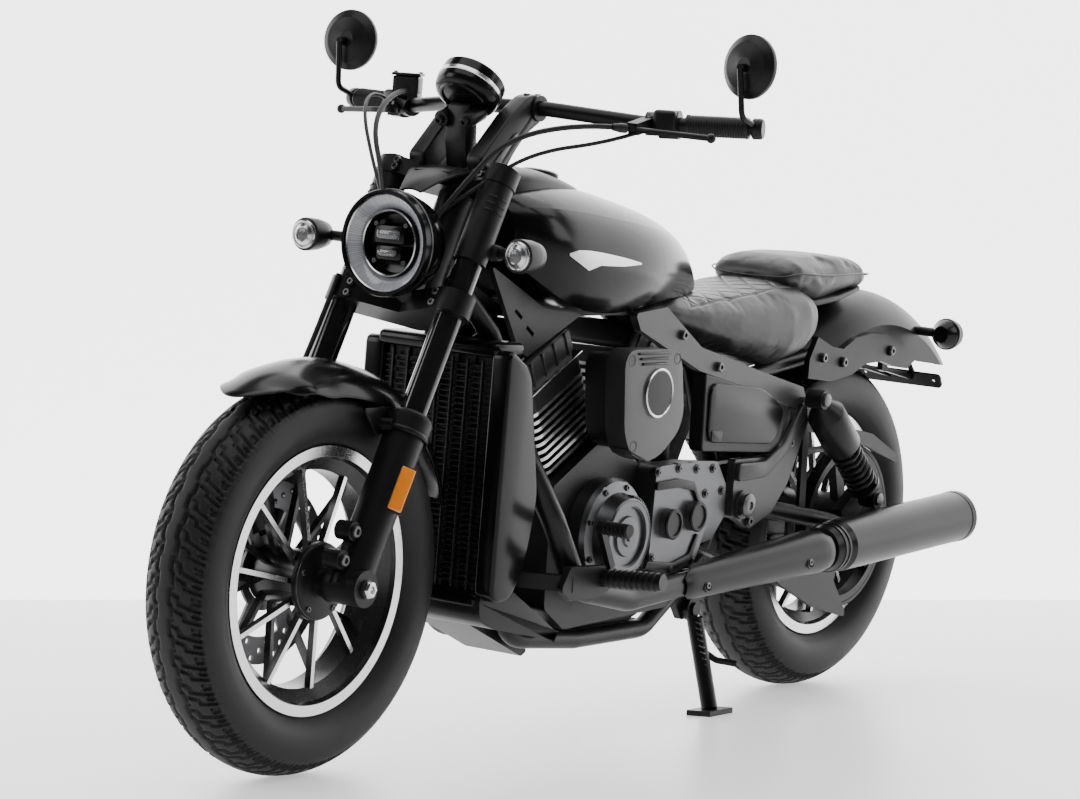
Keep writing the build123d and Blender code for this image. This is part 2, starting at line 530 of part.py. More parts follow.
def frame_castings():
    """Wide side rails under the tank and the castings at the swingarm pivot."""
    rail = plate([(846, 748), (826, 718), (620, 642), (400, 596), (262, 560), (236, 575), (250, 602), (400, 634),
                  (620, 684), (746, 758)], CASTING_Y, CASTING_Y + 16, 6)
    rail += plate([(470, 372), (403, 345), (330, 372), (280, 423), (222, 535), (240, 590), (266, 574), (262, 540),
                   (302, 476), (474, 476)], CASTING_Y, CASTING_Y + 16, 6)
    rail += cross_rod(PIVOT_X, PIVOT_Z, CASTING_Y, CASTING_Y + 22, 26)
    for x, z, reach in ((545, 652, 58 + TUBE_R), (400, 610, 60 + RAIL_R)):
        rail += cross_rod(x, z, reach + SEAT_GAP, CASTING_Y + 1, 12)
    rail -= cross_rod(PIVOT_X, PIVOT_Z, 90, 160, PIVOT_RADIUS + SEAT_GAP)
    return both(rail)


def neck_panels():
    """Covers on both sides of the steering head."""
    panel = plate([(1217, 828), (1118, 684), (1092, 672), (945, 738), (930, 744), (1050, 754)], 68, 78, 3)
    for x, z in ((1118, 735), (1080, 706)):
        panel -= plate([(x, z), (x + 22, z + 14), (x + 18, z + 20), (x - 4, z + 6)], 60, 90)
    panel += cross_rod(1134, 774, BACKBONE_WIDTH / 2 + SEAT_GAP, 69, 7)
    return both(panel)


def side_panels():
    """Covers below the seat, with a key recess on the left."""
    panel = plate([(600, 638 - SEAT_GAP), (594, 496), (330, 482), (296, 569 - SEAT_GAP), (400, 596 - SEAT_GAP)],
                  104, 132, [3, 10, 12, 3, 3])
    return both(fillet(panel.faces().sort_by(Axis.Y)[-1].edges(), 3))


def crankcase():
    lean_sin, lean_cos = math.sin(math.radians(CYLINDER_LEAN)), math.cos(math.radians(CYLINDER_LEAN))
    peak = CRANK_Z + CYLINDER_BASE / lean_cos
    deck_x, deck_z = FIN_HALF_LENGTH * 2 * lean_cos, FIN_HALF_LENGTH * 2 * lean_sin
    case = plate([(622, 215), (640, 400), (CRANK_X - deck_x, peak - deck_z), (CRANK_X, peak),
                  (CRANK_X + deck_x, peak - deck_z), (1030, 400), (1025, 240), (960, 200)],
                 -CASE_HALF_WIDTH, CASE_HALF_WIDTH, [20, 6, 6, 0, 6, 6, 20, 20])
    case += plate([(650, 330), (522, 330), (508, 400), (530, 462), (650, 462)], -56, GEARBOX_LEFT, [0, 10, 10, 10, 0])
    sump = plate([(985, 205), (935, 181), (860, 170), (764, 188), (700, 188), (660, 214), (700, 230), (960, 230)],
                 -58, 58, 5)
    return case + sump


def cylinder_place(side):
    """Place with its z along the cylinder: side 1 leans forward, side -1 back."""
    return Location((CRANK_X, 0, CRANK_Z), (0, side * CYLINDER_LEAN, 0))


def cylinders():
    part = None
    pitch = (CYLINDER_TOP - CYLINDER_BASE) / FIN_COUNT
    for side in (1, -1):
        stack = Pos(0, 0, CYLINDER_BASE) * Box(2 * BARREL_HALF, 2 * BARREL_HALF, CYLINDER_TOP - CYLINDER_BASE,
                                               align=BOTTOM)
        for k in range(FIN_COUNT):
            fin = RectangleRounded(2 * FIN_HALF_LENGTH, 2 * FIN_HALF_WIDTH, FIN_CORNER)
            stack += Pos(0, 0, CYLINDER_BASE + (k + 0.5) * pitch) * extrude(fin, amount=FIN_THICKNESS)
        part = cylinder_place(side) * stack if part is None else part + cylinder_place(side) * stack
    return part


def cylinder_heads():
    part = None
    for side in (1, -1):
        low = CYLINDER_TOP + SEAT_GAP
        head = Pos(0, 0, low) * Box(164, 172, 34, align=BOTTOM)
        head += Pos(0, 0, low + 34) * Box(150, 160, HEAD_TOP - low - 34, align=BOTTOM)
        head = fillet(head.edges().filter_by(Axis.Z), 14)
        part = cylinder_place(side) * head if part is None else part + cylinder_place(side) * head
    return part


def engine_covers():
    """Round alternator cover with raised rings, and the belt drive's front cover with two caps."""
    face = CASE_HALF_WIDTH + SEAT_GAP
    x, z = 880, 366
    round_cover = turned([(0, face), (96, face), (96, face + 26), (88, face + 34), (66, face + 36), (66, face + 66),
                          (52, face + 66), (52, face + 60), (34, face + 60), (34, face + 64), (16, face + 64),
                          (16, face + 68), (0, face + 68)], (x, 0, z))
    rear = plate([(770, 480), (638, 482), (600, 440), (588, 372), (622, 300), (700, 284), (774, 310)], face,
                 face + 44, 20)
    rear += plate([(650, 482), (520, 474), (484, 430), (482, 372), (520, 332), (612, 318)], face, face + 14, 8)
    rear -= turned([(0, face - 1), (96 + SEAT_GAP, face - 1), (96 + SEAT_GAP, face + 50), (0, face + 50)], (x, 0, z))
    for cap_x, cap_z in ((722, 377), (642, 386)):
        rear += cross_rod(cap_x, cap_z, face + 40, face + 56, 27)
    right = turned([(0, -face), (118, -face), (118, -face - 24), (100, -face - 40), (0, -face - 44)], (850, 0, 366))
    return round_cover + rear + right


def drive_pulley():
    """Front belt pulley on the gearbox's output shaft."""
    x, z = FRONT_PULLEY_X, FRONT_PULLEY_Z
    part = cross_rod(x, z, PULLEY_Y - BELT_WIDTH / 2, PULLEY_Y + BELT_WIDTH / 2, FRONT_PULLEY_RADIUS)
    part += cross_rod(x, z, GEARBOX_LEFT + SEAT_GAP, PULLEY_Y, 18)
    return part


def air_cleaner():
    """Five-sided air cleaner between the cylinders, with a bare round badge."""
    points = [(976, 697), (956, 532), (913, 500), (848, 497), (765, 560), (792, 693)]
    body = plate(points, CASE_HALF_WIDTH + SEAT_GAP, 196, 14)
    body = fillet(body.faces().sort_by(Axis.Y)[-1].edges(), 6)
    return body + cross_rod(866, 612, 196, 201, 42)


def radiator():
    """Upright core between two tanks, with louvres."""
    core = Pos(RADIATOR_X - 15, 0, 480) * Box(26, 230, 400)
    for k in range(18):
        core += Pos(RADIATOR_X - 1, 0, 300 + k * 21) * Box(6, 226, 5)
    for k in range(7):
        core += Pos(RADIATOR_X - 1, (k - 3) * 34, 480) * Box(8, 7, 392)
    for z in (340, 610):
        core += both(Pos(RADIATOR_X - 48, 68, z) * Box(44, 20, 24))
    return core - main_frame()


def radiator_shroud():
    """Rounded covers on both sides of the radiator and a chin cover below it."""
    cover = plate([(1236, 696), (1180, 655), (1132, 440), (1150, 350), (1190, 276), (1236, 276)], 117, 146, 16)
    cover = both(fillet(cover.faces().sort_by(Axis.Y)[-1].edges(), 8))
    bar = Pos(RADIATOR_X - 14, 0, 687) * Box(28, 236, 13) + Pos(RADIATOR_X - 14, 0, 273) * Box(28, 236, 13)
    chin = plate([(1214, 258), (1206, 232), (1010, 150), (990, 158), (1100, 230), (1180, 262)], -58, 58, 5)
    return cover + bar + chin


def tank_section(x, half, low, high):
    """One section of the tank: flat bottom, bulging sides and an arched top."""
    rise = high - low
    lines = Line((-0.8 * half, low), (0.8 * half, low))
    lines += ThreePointArc((0.8 * half, low), (half, low + 0.4 * rise), (0.78 * half, low + 0.78 * rise))
    lines += ThreePointArc((0.78 * half, low + 0.78 * rise), (0, high), (-0.78 * half, low + 0.78 * rise))
    lines += ThreePointArc((-0.78 * half, low + 0.78 * rise), (-half, low + 0.4 * rise), (-0.8 * half, low))
    return Plane(origin=(x, 0, 0), x_dir=(0, 1, 0), z_dir=(1, 0, 0)) * make_face(lines)


def fuel_tank():
    return loft([tank_section(*row) for row in TANK_SECTIONS]) - backbone(SEAT_GAP)


def tank_console():
    """Console along the top of the tank with the filler cap."""
    part = plate([(1144, 935), (1150, 985), (1093, 988), (1023, 984), (900, 957), (900, 930)], -54, 54, 6)
    part -= both(Pos(1150, 60, 960) * Rot(0, 0, 45) * Box(60, 40, 120))
    part += Pos(980, 0, 974) * Rot(0, 10, 0) * Cylinder(32, 14)
    return part - loft([tank_section(*row) for row in TANK_SECTIONS])


def cushion(rows):
    """Cushion lofted through sections with a flat bottom and a crowned top."""
    faces = []
    for x, half, low, high in rows:
        rise = high - low
        lines = Polyline((-0.9 * half, low), (0.9 * half, low), (half, low + 0.45 * rise),
                         (0.86 * half, low + 0.86 * rise))
        lines += ThreePointArc((0.86 * half, low + 0.86 * rise), (0, high), (-0.86 * half, low + 0.86 * rise))
        lines += Polyline((-0.86 * half, low + 0.86 * rise), (-half, low + 0.45 * rise), (-0.9 * half, low))
        faces.append(Plane(origin=(x, 0, 0), x_dir=(0, 1, 0), z_dir=(1, 0, 0)) * make_face(lines))
    return loft(faces, ruled=True)


def rider_seat():
    return cushion(SEAT_SECTIONS)


def pillion_seat():
    """Pillion cushion on two pads that rest on the fender."""
    pads = both(Pos(20, 34, 700) * Box(60, 24, 84, align=BOTTOM))
    return cushion(PILLION_SECTIONS) + (pads - fender_body(-SEAT_GAP))


def fender_arch(gap):
    """Arched section of the rear fender's outside, shrunk by a gap, with long sides."""
    half, crest, foot = FENDER_HALF - gap, FENDER_CREST - gap, FENDER_CREST - 210
    lines = Polyline((-half, crest - 62), (-half, foot), (half, foot), (half, crest - 62))
    lines += ThreePointArc((half, crest - 62), (0, crest), (-half, crest - 62))
    return Plane(origin=(0, 0, 0), x_dir=(0, 1, 0), z_dir=(1, 0, 0)) * make_face(lines)


def fender_body(gap):
    turned_arch = revolve(fender_arch(gap), Axis.Y, revolution_arc=110)
    tail = Pos(FENDER_TAIL_X + gap + 2 * FENDER_HALF, 0, 0) * Cylinder(2 * FENDER_HALF - gap, 2000)
    tail += Pos(300, 0, 0) * Box(2 * (300 - FENDER_TAIL_X - 2 * FENDER_HALF), 400, 2000)
    return (Pos(*FENDER_CENTRE) * Rot(0, -62, 0) * turned_arch) & tail


def rear_fender():
    """Rear fender: arched sheet with a rounded tail."""
    shell = fender_body(0) - fender_body(FENDER_WALL)
    return shell & plate(FENDER_SIDE, -120, 120)


def fender_struts():
    """S-shaped struts that carry the fender from the seat rails."""
    strut = plate([(196, 650), (170, 692), (113, 672), (72, 667), (27, 686), (-37, 695), (-103, 691), (-165, 674),
                   (-222, 643), (-183, 623), (-132, 628), (-80, 640), (-15, 636), (31, 617), (110, 606),
                   (196, 614)], FENDER_HALF + SEAT_GAP, FENDER_HALF + 12)
    strut += cross_rod(130, 648, 60 + RAIL_R + SEAT_GAP, FENDER_HALF + 1, 9)
    for x, z in STRUT_SCREWS:
        strut += cross_rod(x, z, FENDER_HALF + 11, FENDER_HALF + 16, 10)
    return both(strut) - rear_fender()


def exhaust_pipes():
    """Both headers, joined below the engine on the left."""
    front = [(1085, 60, 556), (1116, 112, 500), (1078, 150, 400), (1010, 162, 282), (860, 168, 254), (640, 172, 272),
             (262, 197.6, 306.1), (215, 199.1, 309.6)]
    rear = [(625, 50, 592), (606, 50, 520), (606, 50, 300), (590, 100, 256), (520, 172, 284)]
    part = pipe(front, [40, 60, 60, 90, 90, 200], PIPE_RADIUS)
    part += pipe(rear, [40, 30, 30], 19)
    return part - cylinders() - cylinder_heads()


def silencer():
    """Long round silencer with a collar at the front and an open end."""
    start, end = Vector(250, 198, 307), Vector(-240, 213, 343)
    length = (end - start).length
    inlet = PIPE_RADIUS + SEAT_GAP
    profile = [(inlet, 0), (40, 0), (44, 14), (44, 40), (49, 52), (SILENCER_RADIUS, length - 8),
               (SILENCER_RADIUS - 4, length), (34, length), (34, length - 60), (inlet, length - 60)]
    return turned(profile, start, end - start)


def heat_shield():
    """Curved shield on the outside of the long pipe."""
    start, end = Vector(690, 170, 268), Vector(300, 195, 302)
    length = (end - start).length
    shell = turned([(24, 0), (34, 0), (34, length), (24, length)], start, end - start)
    outer_side = Box(80, 90, length, align=(Align.MIN, Align.CENTER, Align.MIN))
    keep = Plane(origin=start, x_dir=(0, 1, 0), z_dir=end - start) * outer_side
    shield = shell & keep
    for share in (0.12, 0.88):
        at = start + (end - start) * share
        shield += rod(at + Vector(0, 12, 0), at + Vector(0, 38, 0), 6)
    return shield - exhaust_pipes()


def swingarm():
    """Two arms from the pivot to the rear axle."""
    arm = pipe([(PIVOT_X, 93, PIVOT_Z), (296, 95, 372), (166, 128, 350), (REAR_AXLE_X, 128, REAR_AXLE_Z)],
               [150, 150], 17)
    arm += cross_rod(REAR_AXLE_X, REAR_AXLE_Z, DROPOUT_Y, DROPOUT_Y + DROPOUT_WIDTH, 30)
    arm += cross_rod(PIVOT_X, PIVOT_Z, 72 + SEAT_GAP, CASTING_Y - SEAT_GAP, 28)
    arm += plate([(16, 330), (2, 392), (30, 400), (90, 356)], 118, 140, 6)
    part = both(arm) + Pos(352, 0, 377) * Box(32, 180, 34)
    part -= cross_rod(REAR_AXLE_X, REAR_AXLE_Z, -150, 150, AXLE_RADIUS + SEAT_GAP)
    return part - cross_rod(PIVOT_X, PIVOT_Z, -150, 150, PIVOT_RADIUS + SEAT_GAP)


def rear_axle():
    """Rear axle with a nut at each end, and the swingarm's pivot bolt."""
    outer = DROPOUT_Y + DROPOUT_WIDTH + SEAT_GAP
    axle = cross_rod(REAR_AXLE_X, REAR_AXLE_Z, -outer, outer, AXLE_RADIUS)
    axle += both(cross_rod(REAR_AXLE_X, REAR_AXLE_Z, outer, outer + 8, 17))
    bolt_end = CASTING_Y + 22 + SEAT_GAP
    bolt = cross_rod(PIVOT_X, PIVOT_Z, -bolt_end, bolt_end, PIVOT_RADIUS)
    return axle + bolt + both(cross_rod(PIVOT_X, PIVOT_Z, bolt_end, bolt_end + 7, 18))


def drive_belt():
    """Toothed belt around both pulleys."""
    low, high = PULLEY_Y - BELT_WIDTH / 2, PULLEY_Y + BELT_WIDTH / 2
    def loop_face(extra):
        rear = Pos(REAR_AXLE_X, REAR_AXLE_Z) * Circle(PULLEY_RADIUS + BELT_GAP + extra)
        front = Pos(FRONT_PULLEY_X, FRONT_PULLEY_Z) * Circle(FRONT_PULLEY_RADIUS + SEAT_GAP + extra)
        return make_hull(rear.edges() + front.edges())

    return extrude(side_plane(high) * (loop_face(BELT_DEPTH) - loop_face(0)), amount=high - low)


def belt_guards():
    """Guard over the belt's top run and the fin below its rear end."""
    upper = plate([(200, 540), (60, 520), (-60, 500), (-172, 452), (-160, 440), (-40, 476), (80, 498), (200, 516)],
                  PULLEY_Y + 14, PULLEY_Y + 22, 5)
    lower = plate([(266, 236), (120, 176), (-10, 146), (-7, 160), (60, 240), (180, 262)], PULLEY_Y + 14,
                  PULLEY_Y + 22, 5)
    upper += plate([(176, 352), (198, 352), (208, 528), (186, 524)], PULLEY_Y + 14, PULLEY_Y + 22)
    lower += plate([(212, 352), (234, 352), (228, 240), (206, 240)], PULLEY_Y + 14, PULLEY_Y + 22)
    return upper + lower - swingarm()


def shocks():
    """Rear shock absorbers: cover above, spring below, eyes at both ends."""
    top, bottom = Vector(254, 0, 584), Vector(22, 0, 386)
    length = (top - bottom).length
    profile = [(0, 12), (12, 12), (12, 34), (29, 38), (29, 52)]
    for k in range(7):
        at = 56 + k * 16
        profile += [(24, at), (30, at + 4), (30, at + 9), (24, at + 13)]
    profile += [(33, length - 150), (33, length - 42), (20, length - 26), (12, length - 12), (0, length - 12)]
    body = turned(profile, bottom, top - bottom)
    body += cross_rod(bottom.X, bottom.Z, -17, 17, 17) + cross_rod(top.X, top.Z, -17, 17, 17)
    body = Pos(0, SHOCK_Y, 0) * body
    body += cross_rod(bottom.X, bottom.Z, 140 + SEAT_GAP, SHOCK_Y + 20, 8)
    body += cross_rod(top.X, top.Z, CASTING_Y + 16 + SEAT_GAP, SHOCK_Y + 20, 8)
    return both(body)


def rear_caliper():
    block = Pos(REAR_AXLE_X, REAR_DISC_Y, REAR_AXLE_Z) * Rot(0, -54, 0) * Pos(122, 0, 0) * Box(68, 44, 92)
    x, z = REAR_AXLE_X, REAR_AXLE_Z
    block += plate([(x - 20, z - 18), (x + 20, z - 18), (x + 106, z + 84), (x + 40, z + 124)],
                   SEAT_GAP - DROPOUT_Y, REAR_DISC_Y - 18, 8)
    block -= cross_rod(x, z, -DROPOUT_Y - 1, 0, AXLE_RADIUS + SEAT_GAP)
    return block - cross_rod(x, z, REAR_DISC_Y - 5, REAR_DISC_Y + 5, 150)


def foot_controls():
    """Forward footpegs, shift lever on the left and brake pedal on the right."""
    hanger = plate([(1115, 292), (1090, 330), (960, 326), (950, 290), (1000, 272), (1080, 272)], 188, 200, 10)
    hanger += Pos(1098, 138, 300) * Rot(0, 0, 26) * Box(26, 128, 26)
    hanger -= main_frame()
    peg = rod((985, 194, 304), (975, 312, 312), 15)
    toe = rod((1010, 200, 394), (1014, 262, 396), 11)
    arm = beam((968, 200, 322), (1012, 200, 398), 10, 14)
    return both(hanger + peg + toe + arm)


def plate_bracket():
    """Number plate bracket: a wide bar with two holes, a tongue with an opening, and straps to the fender."""
    face = Plane(origin=PLATE_CENTRE, x_dir=(0, 1, 0), z_dir=PLATE_NORMAL)
    bar = RectangleRounded(2 * PLATE_HOLE_Y + 34, 30, 8) + make_face(
        Polyline((-40, 0), (40, 0), (20, 76), (-20, 76), close=True))
    bar -= make_face(Polyline((-26, 16), (26, 16), (12, 64), (-12, 64), close=True))
    part = face * Rot(0, 0, 180) * extrude(bar, amount=5)
    for y in (-PLATE_HOLE_Y, PLATE_HOLE_Y):
        part -= face * Pos(y, 0) * Cylinder(PLATE_HOLE_RADIUS, 20)
    inside = fender_body(FENDER_WALL + SEAT_GAP)
    for y in (-24, 24):
        strap = plate([(-352, 588), (-230, 610), (-226, 620), (-352, 598)], y - 6, y + 6)
        part += strap + (plate([(-240, 606), (-226, 610), (-226, 764), (-240, 764)], y - 6, y + 6) & inside)
    return part - rear_fender()


def rear_lights():
    """Tail lamp and two round turn signals on stems."""
    tail = Pos(-396, 0, 646) * Box(40, 70, 22) - fender_body(-SEAT_GAP)
    profile = [(0, 0), (16, 0), (27, 16), (29, 34), (24, 46), (10, 50), (0, 50)]
    lamp = turned(profile, (TAIL_STEM_X + 22, 158, 695), (-1, 0, 0))
    stem = rod((TAIL_STEM_X, 60, TAIL_STEM_Z), (TAIL_STEM_X, 140, TAIL_STEM_Z), 8) - rear_fender()
    stem -= fender_body(0)
    return tail + both(lamp + stem)


# ---------------------------------------------------------------- side stand

# Leaned, the rear tyre's round crown sinks by this much, so the whole bike is lifted by it.
LEAN_LIFT = REAR_TYRE["crown"] * (1 - math.cos(math.radians(LEAN)))
LEANED = Pos(0, 0, LEAN_LIFT) * Rot(-LEAN, 0, 0)


def side_stand():
    """Leg with a pivot eye, a foot plate flat on the ground and a tang for the rider's heel."""
    foot = LEANED.inverse() * Pos(STAND_FOOT[0], STAND_FOOT[1], 0)
    ankle = (foot * Pos(0, 0, STAND_PLATE[2])).position
    part = foot * Box(*STAND_PLATE, align=BOTTOM)
    x, y, z = STAND_PIVOT
    part += cross_rod(x, z, y + STAND_LUG / 2 + SEAT_GAP, y + STAND_LUG / 2 + 14, 22)
    part += rod((x, y + STAND_LUG / 2 + SEAT_GAP + STAND_LEG_RADIUS + 1, z - 14), ankle, STAND_LEG_RADIUS)
    part += pipe([(502, 100, 130), (484, 132, 108), (462, 162, 104)], [20], 6)
    part -= cross_rod(x, z, y - 40, y + 60, STAND_PIN + RUN_GAP)
    return part - cross_rod(x, z, y + STAND_LUG / 2 + 14 + SEAT_GAP, y + 60, 14)


def stand_bracket():
    """Clevis below the frame tube, with the pin that the stand turns on."""
    x, y, z = STAND_PIVOT
    part = plate([(x - 20, z - 20), (x + 20, z - 20), (x + 60, z + 30), (x + 10, z + 70), (x - 26, z + 30)],
                 y - STAND_LUG / 2, y + STAND_LUG / 2, 6)
    part -= main_frame()
    part += cross_rod(x, z, y, y + STAND_LUG / 2 + 20, STAND_PIN)
    return part + cross_rod(x, z, y + STAND_LUG / 2 + 14 + 2 * SEAT_GAP, y + STAND_LUG / 2 + 20, 12)


# ---------------------------------------------------------------- settle and write
def front_tyre():
    return tyre(FRONT_TYRE, FRONT_AXLE)


def rear_tyre():
    return tyre(REAR_TYRE, REAR_AXLE)


def front_disc():
    return disc(FRONT_AXLE, FRONT_DISC_Y, 150, 105, FRONT_HUB)


def rear_disc():
    return disc(REAR_AXLE, REAR_DISC_Y, 146, 100, REAR_HUB)


BODIES = {
    "frame": [main_frame, frame_castings, neck_panels, side_panels, crankcase, cylinders, cylinder_heads,
              engine_covers, drive_pulley, air_cleaner, radiator, radiator_shroud, fuel_tank, tank_console, rider_seat,
              pillion_seat, rear_fender, fender_struts, exhaust_pipes, silencer, heat_shield, swingarm, rear_axle,
              drive_belt, belt_guards, shocks, rear_caliper, foot_controls, plate_bracket, rear_lights,
              stand_bracket],
    "fork": [fork_sliders, fork_tubes, lower_clamp, upper_clamp, headlight_shell, headlight_lens, handlebar, grips,
             bar_controls, levers, mirrors, instrument, front_signals, front_fender, front_caliper, front_axle,
             control_cables, brake_hose],
    "front_wheel": [front_rim, front_tyre, front_disc],
    "rear_wheel": [rear_rim, rear_tyre, rear_disc, rear_pulley],
    "side_stand": [side_stand],
}


def settle(body, part):
    """Turn the steering to where it rests, then lean the bike onto its stand."""
    if body in ("fork", "front_wheel"):
        part = part.rotate(STEER_AXIS, REST_STEER)
    return LEANED * part


def settled_shapes():
    """Every node's shape on the leaned bike, and the move that takes the bottom centre to the origin."""
    shapes = {maker.__name__: settle(body, maker()) for body, makers in BODIES.items() for maker in makers}
    boxes = [part.bounding_box() for part in shapes.values()]
    middle_x = (min(box.min.X for box in boxes) + max(box.max.X for box in boxes)) / 2
    middle_y = (min(box.min.Y for box in boxes) + max(box.max.Y for box in boxes)) / 2
    return shapes, Pos(-middle_x, -middle_y, 0)


def main():
    shapes, to_origin = settled_shapes()
    for name, part in shapes.items():
        export_step(to_origin * part, f"parts/{name}.step")
    print(f"wheelbase {FRONT_AXLE_X - REAR_AXLE_X:.1f}")


main()
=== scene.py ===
import json
from math import asin, cos, radians, sin, tau

import bpy
from mathutils import Matrix, Vector


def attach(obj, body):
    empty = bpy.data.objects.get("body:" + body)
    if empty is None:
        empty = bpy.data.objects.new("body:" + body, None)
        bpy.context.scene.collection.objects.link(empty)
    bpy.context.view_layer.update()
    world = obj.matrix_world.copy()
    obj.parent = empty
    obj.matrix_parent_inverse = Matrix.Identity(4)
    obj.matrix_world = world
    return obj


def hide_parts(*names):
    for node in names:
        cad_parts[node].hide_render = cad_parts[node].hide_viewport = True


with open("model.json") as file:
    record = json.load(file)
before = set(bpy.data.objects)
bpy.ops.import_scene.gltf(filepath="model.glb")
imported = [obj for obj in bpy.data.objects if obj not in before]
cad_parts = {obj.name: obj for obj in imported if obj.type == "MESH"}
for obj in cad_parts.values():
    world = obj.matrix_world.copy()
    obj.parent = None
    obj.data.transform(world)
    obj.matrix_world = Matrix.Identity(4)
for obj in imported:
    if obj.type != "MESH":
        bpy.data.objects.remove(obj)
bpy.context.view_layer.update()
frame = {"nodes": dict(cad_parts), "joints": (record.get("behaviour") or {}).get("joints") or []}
nodes = frame["nodes"]

# Pieces are drawn upright, in millimetres: x forward from the rear axle, y to the rider's left, z up.
# They are placed last: fork pieces turn with the steering's rest angle, and all lean onto the stand.
LEAN, REST_STEER, RAKE = radians(5.5), radians(-1.5), radians(27)
HEAD = Vector((1264.5, 0, 850))
STEER_AXIS = Vector((-sin(RAKE), 0, cos(RAKE)))
REAR_AXLE = Vector((0, 0, 323))
FRONT_AXLE = Vector((1585.1, 0, 320))
joints = {joint["name"]: joint for joint in frame["joints"]}
rear_hub = Vector(joints["rear_wheel_spin"]["pos_m"])
UPRIGHT = (Matrix.Translation(rear_hub) @ Matrix.Rotation(-LEAN, 4, "X") @ Matrix.Scale(0.001, 4)
    @ Matrix.Translation(-REAR_AXLE))
STEERED = (UPRIGHT @ Matrix.Translation(HEAD) @ Matrix.Rotation(REST_STEER, 4, STEER_AXIS)
    @ Matrix.Translation(-HEAD))
PLACES = {"frame": UPRIGHT, "rear_wheel": UPRIGHT, "side_stand": UPRIGHT, "fork": STEERED,
    "front_wheel": STEERED}
# Fork pieces may be drawn along the fork: x ahead of the legs, z along the legs from the axle.
FORK = Matrix.Translation(FRONT_AXLE) @ Matrix.Rotation(-RAKE, 4, "Y")


# ---- camera, floor and light
CAMERA_OFFSET = Vector((6.4539, 3.7952, 0))   # from the rear axle, on the floor
CAMERA_HEIGHT, CAMERA_YAW, CAMERA_PITCH = 0.8448, 214.3, -2.24
LENS_MM, SENSOR_MM = 128.6, 36.0
WALL_DISTANCE, WALL_TOP, ROOM_SIZE = 9.26, 4.5, 60


def heading(yaw, pitch):
    yaw, pitch = radians(yaw), radians(pitch)
    return Vector((cos(yaw) * cos(pitch), sin(yaw) * cos(pitch), sin(pitch)))


def aim(thing, direction):
    thing.rotation_euler = direction.to_track_quat("-Z", "Y").to_euler()


bpy.ops.object.select_all(action="DESELECT")
eye = Vector((rear_hub.x + CAMERA_OFFSET.x, rear_hub.y + CAMERA_OFFSET.y, CAMERA_HEIGHT))
bpy.ops.object.camera_add(location=eye)
camera = bpy.context.object
aim(camera, heading(CAMERA_YAW, CAMERA_PITCH))
camera.data.lens, camera.data.sensor_width = LENS_MM, SENSOR_MM
bpy.context.scene.camera = camera


# ---- node maths
class Wire:
    """A number in a material. Sums and products of wires add Math nodes."""

    def __init__(self, finish, socket):
        self.finish, self.socket = finish, socket

    def maths(self, operation, *values, clamp=False):
        return self.finish.node("ShaderNodeMath", {"operation": operation, "use_clamp": clamp},
            dict(enumerate(values)))

    def __add__(self, other):
        return self.maths("ADD", self, other)

    def __sub__(self, other):
        return self.maths("SUBTRACT", self, other)

    def __rsub__(self, other):
        return self.maths("SUBTRACT", other, self)

    def __mul__(self, other):
        return self.maths("MULTIPLY", self, other)

    def __truediv__(self, other):
        return self.maths("DIVIDE", self, other)

    def __pow__(self, other):
        return self.maths("POWER", self, other)

    __radd__, __rmul__ = __add__, __mul__

    def above(self, limit, width):
        """0 below the limit and 1 above it, over a width."""
        return self.maths("ADD", (self - limit) / width, 0.5, clamp=True)

    def size(self):
        return self.maths("ABSOLUTE", self)


